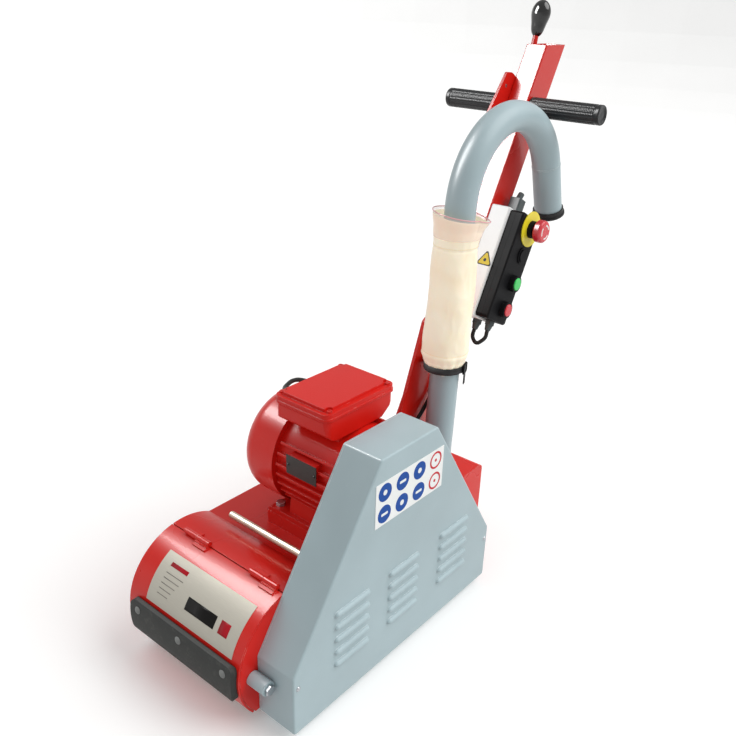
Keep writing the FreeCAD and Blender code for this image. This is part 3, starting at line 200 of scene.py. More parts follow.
def red_cast():
    # The same enamel over sand-cast iron and aluminium: deeper in the ribs, rougher skin.
    return paint("red_enamel_on_casting", "D41A10", "E27E76", 0.36, 1.6, 0.18, coat=0.04, dirt=0.14,
                 gloss=0.2)


def blue_grey_enamel():
    # Satin hammer-grey machine enamel: soft wide highlights, light rubbed folds.
    return paint("satin_grey_enamel", "A9BCC1", "DCE5E7", 0.38, 2.2, 0.06, coat=0.06, edge_mm=1.6, gloss=0.4,
                 rub=0.40)


def white_enamel():
    # Powder-coated steel box: an even white with a fine texture.
    return paint("white_powder_coat", "F3F4F4", "D8D8D6", 0.42, 1.2, 0.04, dirt=0.08)


def metal(name, colour, roughness, stretch, grain_mm, grain_height, edge_mm=0.5):
    """Bare metal with tool marks that run around or along it."""
    made, tree, shader, place = start(name)
    rounded = add(tree, "Bevel", {"Radius": edge_mm * MM}, samples=4).outputs["Normal"]
    along = add(tree, "Mapping", {"Vector": place, "Scale": stretch})
    lines = add(tree, "TexNoise", {"Vector": along.outputs["Vector"], "Scale": 1000 / grain_mm,
                                   "Detail": 4.0})
    stain = add(tree, "TexNoise", {"Vector": place, "Scale": 1000 / 35, "Detail": 5.0, "Roughness": 0.7})
    shade = add(tree, "MapRange", {"Value": stain.outputs["Fac"], "To Min": 0.78, "To Max": 1.15})
    tinted = add(tree, "HueSaturation", {"Color": linear(colour), "Value": shade.outputs["Result"]})
    dull = add(tree, "MapRange", {"Value": stain.outputs["Fac"], "To Min": roughness * 0.7,
                                  "To Max": roughness * 1.5})
    bumped = add(tree, "Bump", {"Height": lines.outputs["Fac"], "Distance": grain_height * MM,
                                "Strength": 0.5, "Normal": rounded})
    fill(tree, shader, Base_Color=tinted.outputs["Color"], Metallic=1.0, Roughness=dull.outputs["Result"],
         Normal=bumped.outputs["Normal"])
    return made


def bright_steel():
    # Turned and polished mild steel bar: bright, with faint lathe lines around it.
    return metal("polished_steel_bar", "B7A898", 0.36, (4.0, 0.6, 0.6), 1.0, 0.01)


def electrical_steel():
    # A stack of thin lamination sheets: dark, dull and finely lined across the stack.
    return metal("lamination_stack", "6A6A6E", 0.45, (12.0, 0.3, 0.3), 2.0, 0.05)


def zinc_steel():
    # Bright zinc plating: a cool grey, cloudy rather than brushed.
    return metal("zinc_plated_steel", "B9BCC0", 0.34, (1.0, 1.0, 1.0), 1.5, 0.02)


def cast_aluminium():
    # Machined die casting: pale, with fine turning rings.
    return metal("machined_aluminium", "C4C5C7", 0.38, (6.0, 0.8, 0.8), 1.2, 0.03)


def dusty_steel():
    # Zinc heads sunk in rubber and grey with sanding dust, so they hardly shine.
    made = metal("dusty_screw_heads", "7C7E7C", 0.62, (1.0, 1.0, 1.0), 1.5, 0.05)
    made.node_tree.nodes["Principled BSDF"].inputs["Metallic"].default_value = 0.35
    return made


def zinc_sheet():
    # Hot-dip galvanised duct sheet: broad flat crystals of grey.
    made, tree, shader, place = start("galvanised_sheet")
    # Spangle is 10 mm across.
    spangle = add(tree, "TexVoronoi", {"Vector": place, "Scale": 1000 / 10})
    tone = add(tree, "ValToRGB", {"Fac": spangle.outputs["Color"]})
    tone.color_ramp.elements[0].color = linear("8E9498")
    tone.color_ramp.elements[1].color = linear("BCC1C4")
    fill(tree, shader, Base_Color=tone.outputs["Color"], Metallic=1.0, Roughness=0.42)
    return made


def plastic(name, colour, light, roughness, grain_mm, grain_height, ior=1.49, edge_mm=0.8, gloss=0.5):
    """A moulded part: spark-eroded grain, slight shade changes and a soft edge."""
    made, tree, shader, place = start(name)
    rounded = add(tree, "Bevel", {"Radius": edge_mm * MM}, samples=4).outputs["Normal"]
    cloud = add(tree, "TexNoise", {"Vector": place, "Scale": 1000 / 28, "Detail": 4.0})
    mixed = add(tree, "MixRGB", {"Fac": cloud.outputs["Fac"], "Color1": linear(colour),
                                 "Color2": linear(light)})
    grain = add(tree, "TexNoise", {"Vector": place, "Scale": 1000 / grain_mm, "Detail": 3.0})
    sheen = add(tree, "MapRange", {"Value": cloud.outputs["Fac"], "To Min": roughness * 0.85,
                                   "To Max": roughness * 1.2})
    bumped = add(tree, "Bump", {"Height": grain.outputs["Fac"], "Distance": grain_height * MM, "Strength": 0.6,
                                "Normal": rounded})
    fill(tree, shader, Base_Color=mixed.outputs["Color"], Roughness=sheen.outputs["Result"],
         Normal=bumped.outputs["Normal"])
    shader.inputs["IOR"].default_value = ior
    shader.inputs["Specular IOR Level"].default_value = gloss
    return made


def black_plastic():
    # Glass-filled polyamide switch housing: matt charcoal with a fine pebble grain, drawn at 0.9 mm to show.
    return plastic("black_polyamide", "131315", "1C1C1E", 0.46, 0.9, 0.05, gloss=0.06)


def grey_plastic():
    # Polyamide gland and inlet: mid grey, smooth.
    return plastic("grey_polyamide", "4B5254", "5C6466", 0.38, 1.0, 0.03, gloss=0.3)


def white_plastic():
    # Capacitor can in white PBT.
    return plastic("white_pbt", "E4E2DA", "D4D2CA", 0.4, 1.0, 0.02)


def yellow_plastic():
    # The emergency-stop backing disc: smooth yellow ABS.
    return plastic("yellow_abs", "F2E022", "F8EA3C", 0.34, 1.4, 0.01)


def green_plastic():
    # Polycarbonate button cap, saturated green.
    return plastic("green_polycarbonate", "27C455", "36D162", 0.3, 1.4, 0.01, ior=1.58)


def red_plastic():
    # Polycarbonate button and mushroom cap, slightly pink in the light.
    return plastic("red_polycarbonate", "D0202E", "DB3443", 0.26, 1.4, 0.01, ior=1.58)


def phenolic_knob():
    # Compression-moulded phenolic, buffed: piano black with sharp highlights.
    return plastic("polished_phenolic", "0B0B0C", "141415", 0.1, 3.0, 0.004, ior=1.6)


def black_plate():
    # An anodised rating plate left blank: black, faintly brushed along its length.
    made, tree, shader, place = start("black_anodised_plate")
    along = add(tree, "Mapping", {"Vector": place, "Scale": (0.08, 1.0, 1.0)})
    lines = add(tree, "TexNoise", {"Vector": along.outputs["Vector"], "Scale": 1000 / 0.8, "Detail": 3.0})
    tone = add(tree, "MixRGB", {"Fac": lines.outputs["Fac"], "Color1": linear("141413"),
                                "Color2": linear("34332F")})
    fill(tree, shader, Base_Color=tone.outputs["Color"], Metallic=0.3, Roughness=0.38)
    return made


def silver_plate():
    # Satin aluminium sign plate: warm silver-grey, brushed across, a little smeared.
    made, tree, shader, place = start("satin_aluminium_plate")
    along = add(tree, "Mapping", {"Vector": place, "Scale": (0.05, 1.0, 1.0)})
    # Brushing is 0.1 mm; it is drawn at 0.7 mm to show.
    lines = add(tree, "TexNoise", {"Vector": along.outputs["Vector"], "Scale": 1000 / 0.7, "Detail": 4.0})
    smear = add(tree, "TexNoise", {"Vector": place, "Scale": 1000 / 60, "Detail": 4.0})
    tone = add(tree, "MixRGB", {"Fac": lines.outputs["Fac"], "Color1": linear("BEB9AD"),
                                "Color2": linear("CECABD")})
    dull = add(tree, "MapRange", {"Value": smear.outputs["Fac"], "To Min": 0.42, "To Max": 0.6})
    bumped = add(tree, "Bump", {"Height": lines.outputs["Fac"], "Distance": 0.01 * MM})
    fill(tree, shader, Base_Color=tone.outputs["Color"], Metallic=0.1, Roughness=dull.outputs["Result"],
         Normal=bumped.outputs["Normal"])
    shader.inputs["Specular IOR Level"].default_value = 0.1
    return made


def white_label():
    # White vinyl sticker: almost flat, with a soft film gloss.
    return plastic("white_vinyl", "EDF0EE", "F6F7F6", 0.32, 5.0, 0.01, edge_mm=0.2)


def rubber(name, colour, light, roughness, grain_mm, grain_height, dust):
    """Rubber that has picked up pale dust in its low spots."""
    made, tree, shader, place = start(name)
    rounded = add(tree, "Bevel", {"Radius": 1.2 * MM}, samples=4).outputs["Normal"]
    cloud = add(tree, "TexNoise", {"Vector": place, "Scale": 1000 / 45, "Detail": 6.0, "Roughness": 0.65})
    mixed = add(tree, "MixRGB", {"Fac": cloud.outputs["Fac"], "Color1": linear(colour),
                                 "Color2": linear(light)})
    powder = add(tree, "TexNoise", {"Vector": place, "Scale": 1000 / 14, "Detail": 8.0, "Roughness": 0.8})
    amount = add(tree, "MapRange", {"Value": powder.outputs["Fac"], "From Min": 0.52, "From Max": 0.78,
                                    "To Max": dust})
    dusty = add(tree, "MixRGB", {"Fac": amount.outputs["Result"], "Color1": mixed.outputs["Color"],
                                 "Color2": linear("8C8880")})
    grain = add(tree, "TexNoise", {"Vector": place, "Scale": 1000 / grain_mm, "Detail": 4.0})
    bumped = add(tree, "Bump", {"Height": grain.outputs["Fac"], "Distance": grain_height * MM, "Strength": 0.7,
                                "Normal": rounded})
    fill(tree, shader, Base_Color=dusty.outputs["Color"], Roughness=roughness,
         Normal=bumped.outputs["Normal"])
    shader.inputs["IOR"].default_value = 1.52
    shader.inputs["Specular IOR Level"].default_value = 0.3
    return made


def bumper_rubber():
    # Extruded nitrile strip: charcoal green-grey, dull, scuffed pale along the edge that meets the skirting.
    return rubber("bumper_nitrile", "262826", "323432", 0.62, 1.6, 0.15, 0.16)


def black_rubber():
    # Natural rubber ring, nearly black.
    return rubber("ring_rubber", "1A1A1B", "262627", 0.5, 1.4, 0.06, 0.15)


def grip_rubber():
    # Soft PVC grip: dark grey with a light polish on the raised diamonds.
    return rubber("grip_pvc", "1C1E20", "292B2D", 0.30, 1.2, 0.04, 0.08)


def cable_rubber():
    # H07RN-F style rubber sheath: black, slightly waxy.
    return rubber("cable_sheath", "131313", "1E1E1E", 0.4, 1.5, 0.04, 0.08)


def belt_rubber():
    # Flat neoprene belt with a cloth-faced back.
    return rubber("neoprene_belt", "1B1B1B", "282826", 0.62, 1.0, 0.1, 0.25)


def wheel_rubber():
    # Grey-black cushion tyre, dusty from the floor.
    return rubber("cushion_tyre", "2A2A2A", "3A3A39", 0.6, 1.6, 0.12, 0.5)


def abrasive_sleeve():
    # Aluminium-oxide cloth: brown grit, P40 grains of 0.4 mm drawn at 1.2 mm to show.
    made, tree, shader, place = start("oxide_abrasive_cloth")
    grit = add(tree, "TexVoronoi", {"Vector": place, "Scale": 1000 / 1.2})
    tone = add(tree, "ValToRGB", {"Fac": grit.outputs["Color"]})
    tone.color_ramp.elements[0].color = linear("4A2A18")
    tone.color_ramp.elements[1].color = linear("9A6A42")
    bumped = add(tree, "Bump", {"Height": grit.outputs["Distance"], "Distance": 0.4 * MM, "Strength": 0.9})
    fill(tree, shader, Base_Color=tone.outputs["Color"], Roughness=0.8, Normal=bumped.outputs["Normal"])
    return made


def cotton_canvas():
    # Plain-woven unbleached cotton: cream, with cross threads, slubs and a soft fuzz of sheen.
    made, tree, shader, place = start("unbleached_cotton")
    low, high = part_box("dust_bag")
    axis = (low + high) / 2
    moved = add(tree, "VectorMath", {0: place, 1: (-axis.x, -axis.y, 0)}, operation="ADD")
    parts = add(tree, "SeparateXYZ", {"Vector": moved.outputs["Vector"]})
    angle = add(tree, "Math", {0: parts.outputs["Y"], 1: parts.outputs["X"]}, operation="ARCTAN2")
    # Threads are 0.5 mm apart; they are drawn 1.6 mm apart to show. The bag is 0.25 m round.
    around = add(tree, "Math", {0: angle.outputs["Value"], 1: 156.0}, operation="MULTIPLY")
    warp = add(tree, "Math", {0: around.outputs["Value"]}, operation="SINE")
    height = add(tree, "Math", {0: parts.outputs["Z"], 1: 2 * math.pi * 1000 / 1.6}, operation="MULTIPLY")
    weft = add(tree, "Math", {0: height.outputs["Value"]}, operation="SINE")
    weave = add(tree, "Math", {0: warp.outputs["Value"], 1: weft.outputs["Value"]}, operation="MULTIPLY")
    slub = add(tree, "Mapping", {"Vector": place, "Scale": (1.0, 1.0, 0.25)})
    slubs = add(tree, "TexNoise", {"Vector": slub.outputs["Vector"], "Scale": 1000 / 12, "Detail": 6.0})
    stain = add(tree, "TexNoise", {"Vector": place, "Scale": 1000 / 70, "Detail": 3.0})
    warm = add(tree, "MapRange", {"Value": stain.outputs["Fac"], "From Min": 0.35, "From Max": 0.7})
    base = add(tree, "MixRGB", {"Fac": warm.outputs["Result"], "Color1": linear("FFF7E0"),
                                "Color2": linear("FBE4C6")})
    threads = add(tree, "MapRange", {"Value": weave.outputs["Value"], "From Min": -1.0, "To Min": 0.94,
                                     "To Max": 1.03})
    shaded = add(tree, "HueSaturation", {"Color": base.outputs["Color"], "Value": threads.outputs["Result"]})
    sum_up = add(tree, "Math", {0: weave.outputs["Value"], 1: 0.25, 2: slubs.outputs["Fac"]},
                 operation="MULTIPLY_ADD")
    bumped = add(tree, "Bump", {"Height": sum_up.outputs["Value"], "Distance": 0.5 * MM, "Strength": 0.45})
    fill(tree, shader, Base_Color=shaded.outputs["Color"], Roughness=0.85, Normal=bumped.outputs["Normal"])
    shader.inputs["Sheen Weight"].default_value = 0.35
    shader.inputs["Sheen Roughness"].default_value = 0.5
    shader.inputs["Subsurface Weight"].default_value = 0.12
    shader.inputs["Subsurface Scale"].default_value = 0.004
    # Painted light: a faint cream emission makes the cloth glow, so the bag looks brighter than the lamps alone
    # make it.
    shader.inputs["Emission Color"].default_value = linear("FFEFD0")
    shader.inputs["Emission Strength"].default_value = 0.24
    return made


def clear_film():
    # Soft PVC film, slightly pink and cloudy: clear enough to see the pipe through it.
    made, tree, shader, place = start("soft_pvc_film")
    haze = add(tree, "TexNoise", {"Vector": place, "Scale": 1000 / 18, "Detail": 4.0})
    tone = add(tree, "MixRGB", {"Fac": haze.outputs["Fac"], "Color1": linear("FFF6F2"),
                                "Color2": linear("FBE2E0")})
    wrinkle = add(tree, "TexNoise", {"Vector": place, "Scale": 1000 / 9, "Detail": 3.0})
    bumped = add(tree, "Bump", {"Height": wrinkle.outputs["Fac"], "Distance": 0.6 * MM, "Strength": 0.5})
    fill(tree, shader, Base_Color=tone.outputs["Color"], Roughness=0.16, Alpha=0.22,
         Normal=bumped.outputs["Normal"])
    return made


def pink_bead():
    # The film's welded rim, thick enough to show its own colour.
    return plastic("pink_pvc_bead", "EBA3A8", "F3BFC3", 0.25, 4.0, 0.02)


def black_webbing():
    # Woven polyester strap: ribs across a 2 mm pitch.
    made, tree, shader, place = start("polyester_webbing")
    ribs = add(tree, "TexWave", {"Vector": place, "Scale": 1000 / 2 / 20, "Distortion": 0.6},
               bands_direction="Z")
    tone = add(tree, "MixRGB", {"Fac": ribs.outputs["Fac"], "Color1": linear("161617"),
                                "Color2": linear("2B2B2D")})
    bumped = add(tree, "Bump", {"Height": ribs.outputs["Fac"], "Distance": 0.3 * MM})
    fill(tree, shader, Base_Color=tone.outputs["Color"], Roughness=0.7, Normal=bumped.outputs["Normal"])
    return made


def ink(name, colour):
    """Screen-printed vinyl ink: solid and slightly glossy, thinner in a few specks."""
    made, tree, shader, place = start(name)
    specks = add(tree, "TexNoise", {"Vector": place, "Scale": 1000 / 2, "Detail": 5.0})
    shade = add(tree, "MapRange", {"Value": specks.outputs["Fac"], "To Min": 0.9, "To Max": 1.12})
    tinted = add(tree, "HueSaturation", {"Color": linear(colour), "Value": shade.outputs["Result"]})
    fill(tree, shader, Base_Color=tinted.outputs["Color"], Roughness=0.34)
    shader.inputs["Specular IOR Level"].default_value = 0.08
    return made


def floor_paint():
    # Pale studio floor, matt, with the least mottling.
    made, tree, shader, place = start("pale_studio_floor")
    cloud = add(tree, "TexNoise", {"Vector": place, "Scale": 1.5, "Detail": 3.0})
    tone = add(tree, "MixRGB", {"Fac": cloud.outputs["Fac"], "Color1": linear("F4F4F3"),
                                "Color2": linear("FAFAF9")})
    fill(tree, shader, Base_Color=tone.outputs["Color"], Roughness=0.8)
    # A light table shines faintly through it.
    shader.inputs["Emission Color"].default_value = (1.0, 1.0, 1.0, 1)
    shader.inputs["Emission Strength"].default_value = 0.12
    return made


FINISHES = {
    "red_enamel": red_enamel, "red_cast": red_cast, "blue_grey_enamel": blue_grey_enamel,
    "white_enamel": white_enamel, "bright_steel": bright_steel, "electrical_steel": electrical_steel,
    "zinc_steel": zinc_steel, "zinc_sheet": zinc_sheet, "cast_aluminium": cast_aluminium,
    "black_plate": black_plate, "white_label": white_label, "silver_plate": silver_plate,
    "white_plastic": white_plastic, "grey_plastic": grey_plastic, "black_plastic": black_plastic,
    "yellow_plastic": yellow_plastic, "green_plastic": green_plastic, "red_plastic": red_plastic,
    "phenolic_knob": phenolic_knob, "belt_rubber": belt_rubber, "black_rubber": black_rubber,
    "grip_rubber": grip_rubber, "bumper_rubber": bumper_rubber, "cable_rubber": cable_rubber,
    "wheel_rubber": wheel_rubber, "abrasive_sleeve": abrasive_sleeve, "cotton_canvas": cotton_canvas,
    "clear_film": clear_film,
}
finish_of = {slot: make() for slot, make in FINISHES.items()}
finish_of_node = {"bumper_screws": dusty_steel(), "mast_column": mast_enamel()}


def coat_cad_nodes():
    for part in frame["record"]["subparts"]:
        shown = frame["nodes"][part["node"]]
        finish = finish_of_node.get(part["node"], finish_of[part["material_slot"]])
        for slot in shown.material_slots:
            slot.material = finish
        if not shown.material_slots:
            shown.data.materials.append(finish)


# ---------------------------------------------------------------- mesh helpers

def piece(name, mesh, material, body):
    data = bpy.data.meshes.new(name)
    mesh.normal_update()
    mesh.to_mesh(data)
    mesh.free()
    data.materials.append(material)
    made = bpy.data.objects.new(name, data)
    bpy.context.scene.collection.objects.link(made)
    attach(made, body)
    return made


def smooth(made):
    for face in made.data.polygons:
        face.use_smooth = True
    return made


def rings(rows, closed_ends=False):
    """A tube through rows of points, each row a closed ring of the same count."""
    mesh = bmesh.new()
    made = [[mesh.verts.new(p) for p in row] for row in rows]
    count = len(made[0])
    for low, high in zip(made, made[1:]):
        for i in range(count):
            j = (i + 1) % count
            mesh.faces.new((low[i], low[j], high[j], high[i]))
    if closed_ends:
        mesh.faces.new(list(reversed(made[0])))
        mesh.faces.new(made[-1])
    return mesh


def disc_outline(radius, count=40):
    return [(radius * math.cos(2 * math.pi * i / count), radius * math.sin(2 * math.pi * i / count))
            for i in range(count)]


def rounded_outline(corners, radius, steps=5):
    """The corners of a convex shape, listed anticlockwise, each rounded to the radius."""
    out = []
    for i, corner in enumerate(corners):
        here = Vector(corner)
        into = (here - Vector(corners[i - 1])).normalized()
        away = (Vector(corners[(i + 1) % len(corners)]) - here).normalized()
        turn = into.angle(away)
        start_at = here - into * radius * math.tan(turn / 2)
        centre = start_at + Vector((-into.y, into.x)) * radius
        for k in range(steps + 1):
            a = turn * k / steps
            spoke = start_at - centre
            out.append((centre.x + spoke.x * math.cos(a) - spoke.y * math.sin(a),
                        centre.y + spoke.x * math.sin(a) + spoke.y * math.cos(a)))
    return out


def oblong(width, height, radius):
    w, h = width / 2, height / 2
    return rounded_outline(((-w, -h), (w, -h), (w, h), (-w, h)), radius)


def raised(name, outline, centre, across, up, thick, material, body, hole=None):
    """A thin flat shape with its back at the centre point, facing across x up."""
    out = across.cross(up).normalized()
    mesh = bmesh.new()
    loops = [outline] + ([hole] if hole else [])
    edge_loops = []
    for loop in loops:
        back = [mesh.verts.new(centre + across * u + up * v) for u, v in loop]
        front = [mesh.verts.new(centre + across * u + up * v + out * thick) for u, v in loop]
        edge_loops.append((back, front))
    outer_back, outer_front = edge_loops[0]
    count = len(outer_back)
    for i in range(count):
        j = (i + 1) % count
        mesh.faces.new((outer_back[i], outer_back[j], outer_front[j], outer_front[i]))
    if hole:
        inner_back, inner_front = edge_loops[1]
        for i in range(count):
            j = (i + 1) % count
            mesh.faces.new((inner_back[j], inner_back[i], inner_front[i], inner_front[j]))
            mesh.faces.new((outer_front[i], outer_front[j], inner_front[j], inner_front[i]))
            mesh.faces.new((outer_back[j], outer_back[i], inner_back[i], inner_back[j]))
    else:
        mesh.faces.new(outer_front)
        mesh.faces.new(list(reversed(outer_back)))
    return piece(name, mesh, material, body)


# ---------------------------------------------------------------- signs, labels and plates

def guard_marks():
    """Plain round marks on the guard's white label: two rows of four."""
    low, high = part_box("guard_label")
    face = high.x
    blue = ink("blue_vinyl_ink", "1F4FA0")
    white = ink("white_vinyl_ink", "EEF1F0")
    red = ink("red_vinyl_ink", "C8303A")
    step = (high.y - low.y) / 4
    rise = (high.z - low.z) / 2
    radius = 0.4 * rise
    up = Vector((0, 0, 1))
    across = Vector((0, 1, 0))
    for column in range(4):
        for row in range(2):
            centre = Vector((face, low.y + step * (column + 0.5), low.z + rise * (row + 0.5)))
            tag = f"{column}_{row}"
            if column < 3:
                raised("label_disc_" + tag, disc_outline(radius), centre, across, up, 0.25 * MM, blue, "root")
                inner = centre + Vector((0.25 * MM, 0, 0))
                round_mark = (column + row) % 2
                shape = disc_outline(radius * 0.3) if round_mark else oblong(radius, radius * 0.3, radius * 0.1)
                raised("label_mark_" + tag, shape, inner, across, up, 0.15 * MM, white, "root")
            else:
                raised("label_ring_" + tag, disc_outline(radius), centre, across, up, 0.25 * MM, red, "root",
                       hole=disc_outline(radius * 0.78))
                raised("label_dot_" + tag, disc_outline(radius * 0.18), centre, across, up, 0.2 * MM, red,
                       "root")


def plate_marks():
    """Plain bars and fine lines on the curved plate of the hood, where a maker would print."""
    axis = middle("drum_core")
    plate = frame["nodes"]["hood_plate"]
    radius = max(math.hypot(v.co.y - axis.y, v.co.z - axis.z) for v in plate.data.vertices)
    angles = [math.atan2(v.co.z - axis.z, v.co.y - axis.y) for v in plate.data.vertices]
    bottom, top = max(angles), min(angles)
    low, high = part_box("hood_plate")
    black = ink("black_sign_ink", "1B1A19")
    red = ink("red_sign_ink", "B3202C")
    grey = ink("grey_sign_ink", "8F8981")

    def strip(name, x0, x1, part0, part1, material):
        """A bar on the curve: x in shares of the plate's width, parts from its top edge to its bottom."""
        rows = []
        for lift in (0.02 * MM, 0.22 * MM):
            line = []
            for k in range(7):
                a = top + (bottom - top) * (part0 + (part1 - part0) * k / 6)
                line.append((axis.y + (radius + lift) * math.cos(a), axis.z + (radius + lift) * math.sin(a)))
            rows.append(line)
        a, b = (low.x + (high.x - low.x) * share for share in (x0, x1))
        inner, outer = rows
        loop = inner + outer[::-1]
        mesh = rings([[(x, y, z) for y, z in loop] for x in (a, b)])
        mesh.verts.ensure_lookup_table()
        count = len(loop)
        for end, flip in ((0, True), (count, False)):
            for k in range(6):
                quad = [mesh.verts[end + i] for i in (k, k + 1, count - 2 - k, count - 1 - k)]
                mesh.faces.new(quad[::-1] if flip else quad)
        bmesh.ops.recalc_face_normals(mesh, faces=mesh.faces)
        return smooth(piece(name, mesh, material, "hood_flap"))

    strip("plate_red_bar", 0.10, 0.30, 0.16, 0.24, red)
    for i in range(5):
        strip(f"plate_fine_line_{i}", 0.10, 0.30 - 0.02 * i, 0.36 + 0.1 * i, 0.375 + 0.1 * i, grey)
    strip("plate_black_bar", 0.42, 0.75, 0.50, 0.74, black)
    strip("plate_short_red_bar", 0.80, 0.90, 0.50, 0.74, red)


def reach(node, direction):
    """How far a node's surface reaches along a direction."""
    return max(v.co.dot(direction) for v in frame["nodes"][node].data.vertices)


def enclosure_sign():
    """A plain yellow triangle with a dark border and a dot on the front of the switch enclosure."""
    box_middle = middle("switch_enclosure")
    front = -MAST_BACK
    centre = box_middle + RIGHT * 5 * MM + front * (reach("switch_enclosure", front) - box_middle.dot(front))
    side = 0.032

    def triangle(edge):
        r = edge / math.sqrt(3)
        return rounded_outline([(r * math.cos(math.radians(a)), r * math.sin(math.radians(a)))
                                for a in (90, 210, 330)], edge * 0.09)

    raised("sign_border", triangle(side), centre, RIGHT, MAST_UP, 0.25 * MM,
           ink("sign_black", "1C1A12"), "root")
    lift = front * 0.25 * MM
    raised("sign_face", triangle(side * 0.8), centre + lift, RIGHT, MAST_UP, 0.15 * MM,
           ink("sign_yellow", "F6D91E"), "root")
    raised("sign_dot", disc_outline(side * 0.09), centre + lift * 1.6, RIGHT, MAST_UP, 0.15 * MM,
           bpy.data.materials["sign_black"], "root")


def estop_marks():
    """Three curved strokes on the mushroom cap, which show that it turns to release."""
    low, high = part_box("estop_cap")
    centre = Vector((high.x - 1.2 * MM, (low.y + high.y) / 2, (low.z + high.z) / 2))
    radius = (high.z - low.z) / 2 * 0.58
    white = ink("white_cap_ink", "F1EDEA")
    for i in range(3):
        start_at = math.radians(120 * i + 15)
        arc = [start_at + math.radians(70) * k / 10 for k in range(11)]
        loop = [(radius * 1.12 * math.cos(a), radius * 1.12 * math.sin(a)) for a in arc]
        loop += [(radius * 0.88 * math.cos(a), radius * 0.88 * math.sin(a)) for a in reversed(arc)]
        raised(f"estop_stroke_{i}", loop, centre, Vector((0, 1, 0)), Vector((0, 0, 1)), 1.5 * MM, white,
               "estop_cap")


# ---------------------------------------------------------------- handlebar grips

def grips():
    """Each grip has a field of raised diamonds between plain collars, and a domed end."""
    low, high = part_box("handlebar_grips")
    centre = middle("handlebar_tube")
    mast_low, mast_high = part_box("mast_column")
    radius = (high.z - low.z) / 2
    around, steps = 120, 150
    turns = [2 * math.pi * i / around for i in range(around)]
    for name, side, inner_end, outer_end in (("grip_right", 1, mast_high.x + 0.5 * MM, high.x),
                                             ("grip_left", -1, mast_low.x - 5.5 * MM, low.x)):
        length = abs(outer_end - inner_end)

        def ring(x, radii):
            return [(x, centre.y + r * math.cos(a), centre.z + r * math.sin(a)) for a, r in zip(turns, radii)]

        rows = [ring(inner_end, [11.3 * MM] * around)]
        for k in range(steps + 1):
            x = length * k / steps
            rows.append(ring(inner_end + side * x, [grip_radius(x, length, a, radius) for a in turns]))
        for share, inset in ((0.86, 0.1), (0.7, 0.3), (0.66, 1.4), (0.3, 1.2), (0.08, 1.1)):
            rows.append(ring(outer_end - side * inset * MM, [radius * share] * around))
        mesh = rings(rows)
        mesh.verts.ensure_lookup_table()
        mesh.faces.new(mesh.verts[-around:])
        bmesh.ops.recalc_face_normals(mesh, faces=mesh.faces)
        grip = smooth(piece(name, mesh, finish_of["grip_rubber"], "root"))
        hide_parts("handlebar_grips")


def grip_radius(x, length, angle, radius):
    """Outer radius of a grip at a distance from its inner end and an angle round it."""
    body = radius - 1.8 * MM
    collar = 5 * MM
    end_band = length - 10 * MM
    if x < collar or x > end_band:
        lip = 0.9 * MM * math.sin(math.pi * min(1, x / collar)) if x < collar else 0.0
        groove = 1.0 * MM if end_band < x < length - 8 * MM else 0.0
        round_off = max(0.0, x - (length - 1.5 * MM))
        return body + lip + (0.9 * MM - groove if x > end_band else 0) - round_off * 0.6
    # Diamonds are 6 mm long and a twentieth of a turn wide.
    pitch, count = 6.0 * MM, 20
    along = math.pi * x / pitch * 2
    turn = angle * count / 2
    wave = math.sin(along + turn) * math.sin(along - turn)
    return body + 1.1 * MM * max(0.0, min(1.0, 0.35 + 1.4 * wave))


# ---------------------------------------------------------------- dust bag

BAG_THICK = 0.7 * MM
BAG_LOW, BAG_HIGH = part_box("dust_bag")
BAG_HEIGHT = BAG_HIGH.z + 12 * MM - BAG_LOW.z
# The bag hangs a little off the pipe's axis.
BAG_OFFSET = Vector((-2.6, -2.2, 0)) * MM
RISER_LEAN = math.radians(2.34)


def riser_centre(z):
    """The middle of the pipe's riser at a height; the riser leans back, and the bag hangs round it."""
    at = (BAG_LOW + BAG_HIGH) / 2
    return Vector((at.x, at.y + (z - at.z) * math.tan(RISER_LEAN), z))


def bag_radius(share, angle):
    """The bag's outer radius at a share of its height and an angle round it."""
    profile = ((0.0, 30.0), (0.03, 30.6), (0.07, 35.2), (0.12, 38.8), (0.22, 39.6), (0.45, 38.9), (0.66, 37.2),
               (0.82, 35.6), (0.92, 37.6), (1.0, 40.6), (1.1, 43.0))
    for (a, ra), (b, rb) in zip(profile, profile[1:]):
        if share <= b:
            t = (share - a) / (b - a)
            t = t * t * (3 - 2 * t)
            base = ra + (rb - ra) * t
            break
    gather = max(0.0, 1 - share / 0.16)
    mouth = mouth_share(share)
    folds = 0.9 * gather * math.sin(angle * 17 + 0.6 * math.sin(angle * 3))
    folds += 0.5 * max(0.0, 1 - share / 0.4) * math.sin(angle * 7 + 1.3)
    soft = 1.9 * noise.noise(Vector((math.cos(angle) * 1.3, math.sin(angle) * 1.3, share * 3.1)))
    creases = 1.1 * abs(noise.noise(Vector((math.cos(angle) * 2.6 + 4, math.sin(angle) * 2.6, share * 9.0))))
    # Long slanting drag folds, as the cloth hangs from its seam.
    drag = 0.9 * math.sin(angle * 4 + share * 7) * math.sin(math.pi * min(1.0, share)) ** 2
    seam = 0.9 * math.exp(-((share - 0.815) / 0.006) ** 2)
    hem = 0.9 * (1 / (1 + math.exp(-(0.13 - share) * 400))) * (1 if share > 0.05 else 0.3)
    side_seam = 0.9 * math.exp(-((angle - 2.1) / 0.035) ** 2)
    loose = (soft - creases + drag) * (1 - 0.7 * min(1.0, mouth))
    return (base + folds + loose - seam + hem + side_seam + 8.0 * ear(angle) * mouth ** 1.5) * MM


def mouth_share(share):
    """0 up to the bag's waist and 1 at its mouth."""
    return max(0.0, (share - 0.82) / 0.18)


def ear(angle):
    """1 at the corner of the mouth that is pulled out towards the switches, falling to 0 on both sides."""
    return math.exp(-((angle - 0.65) / 0.5) ** 2)


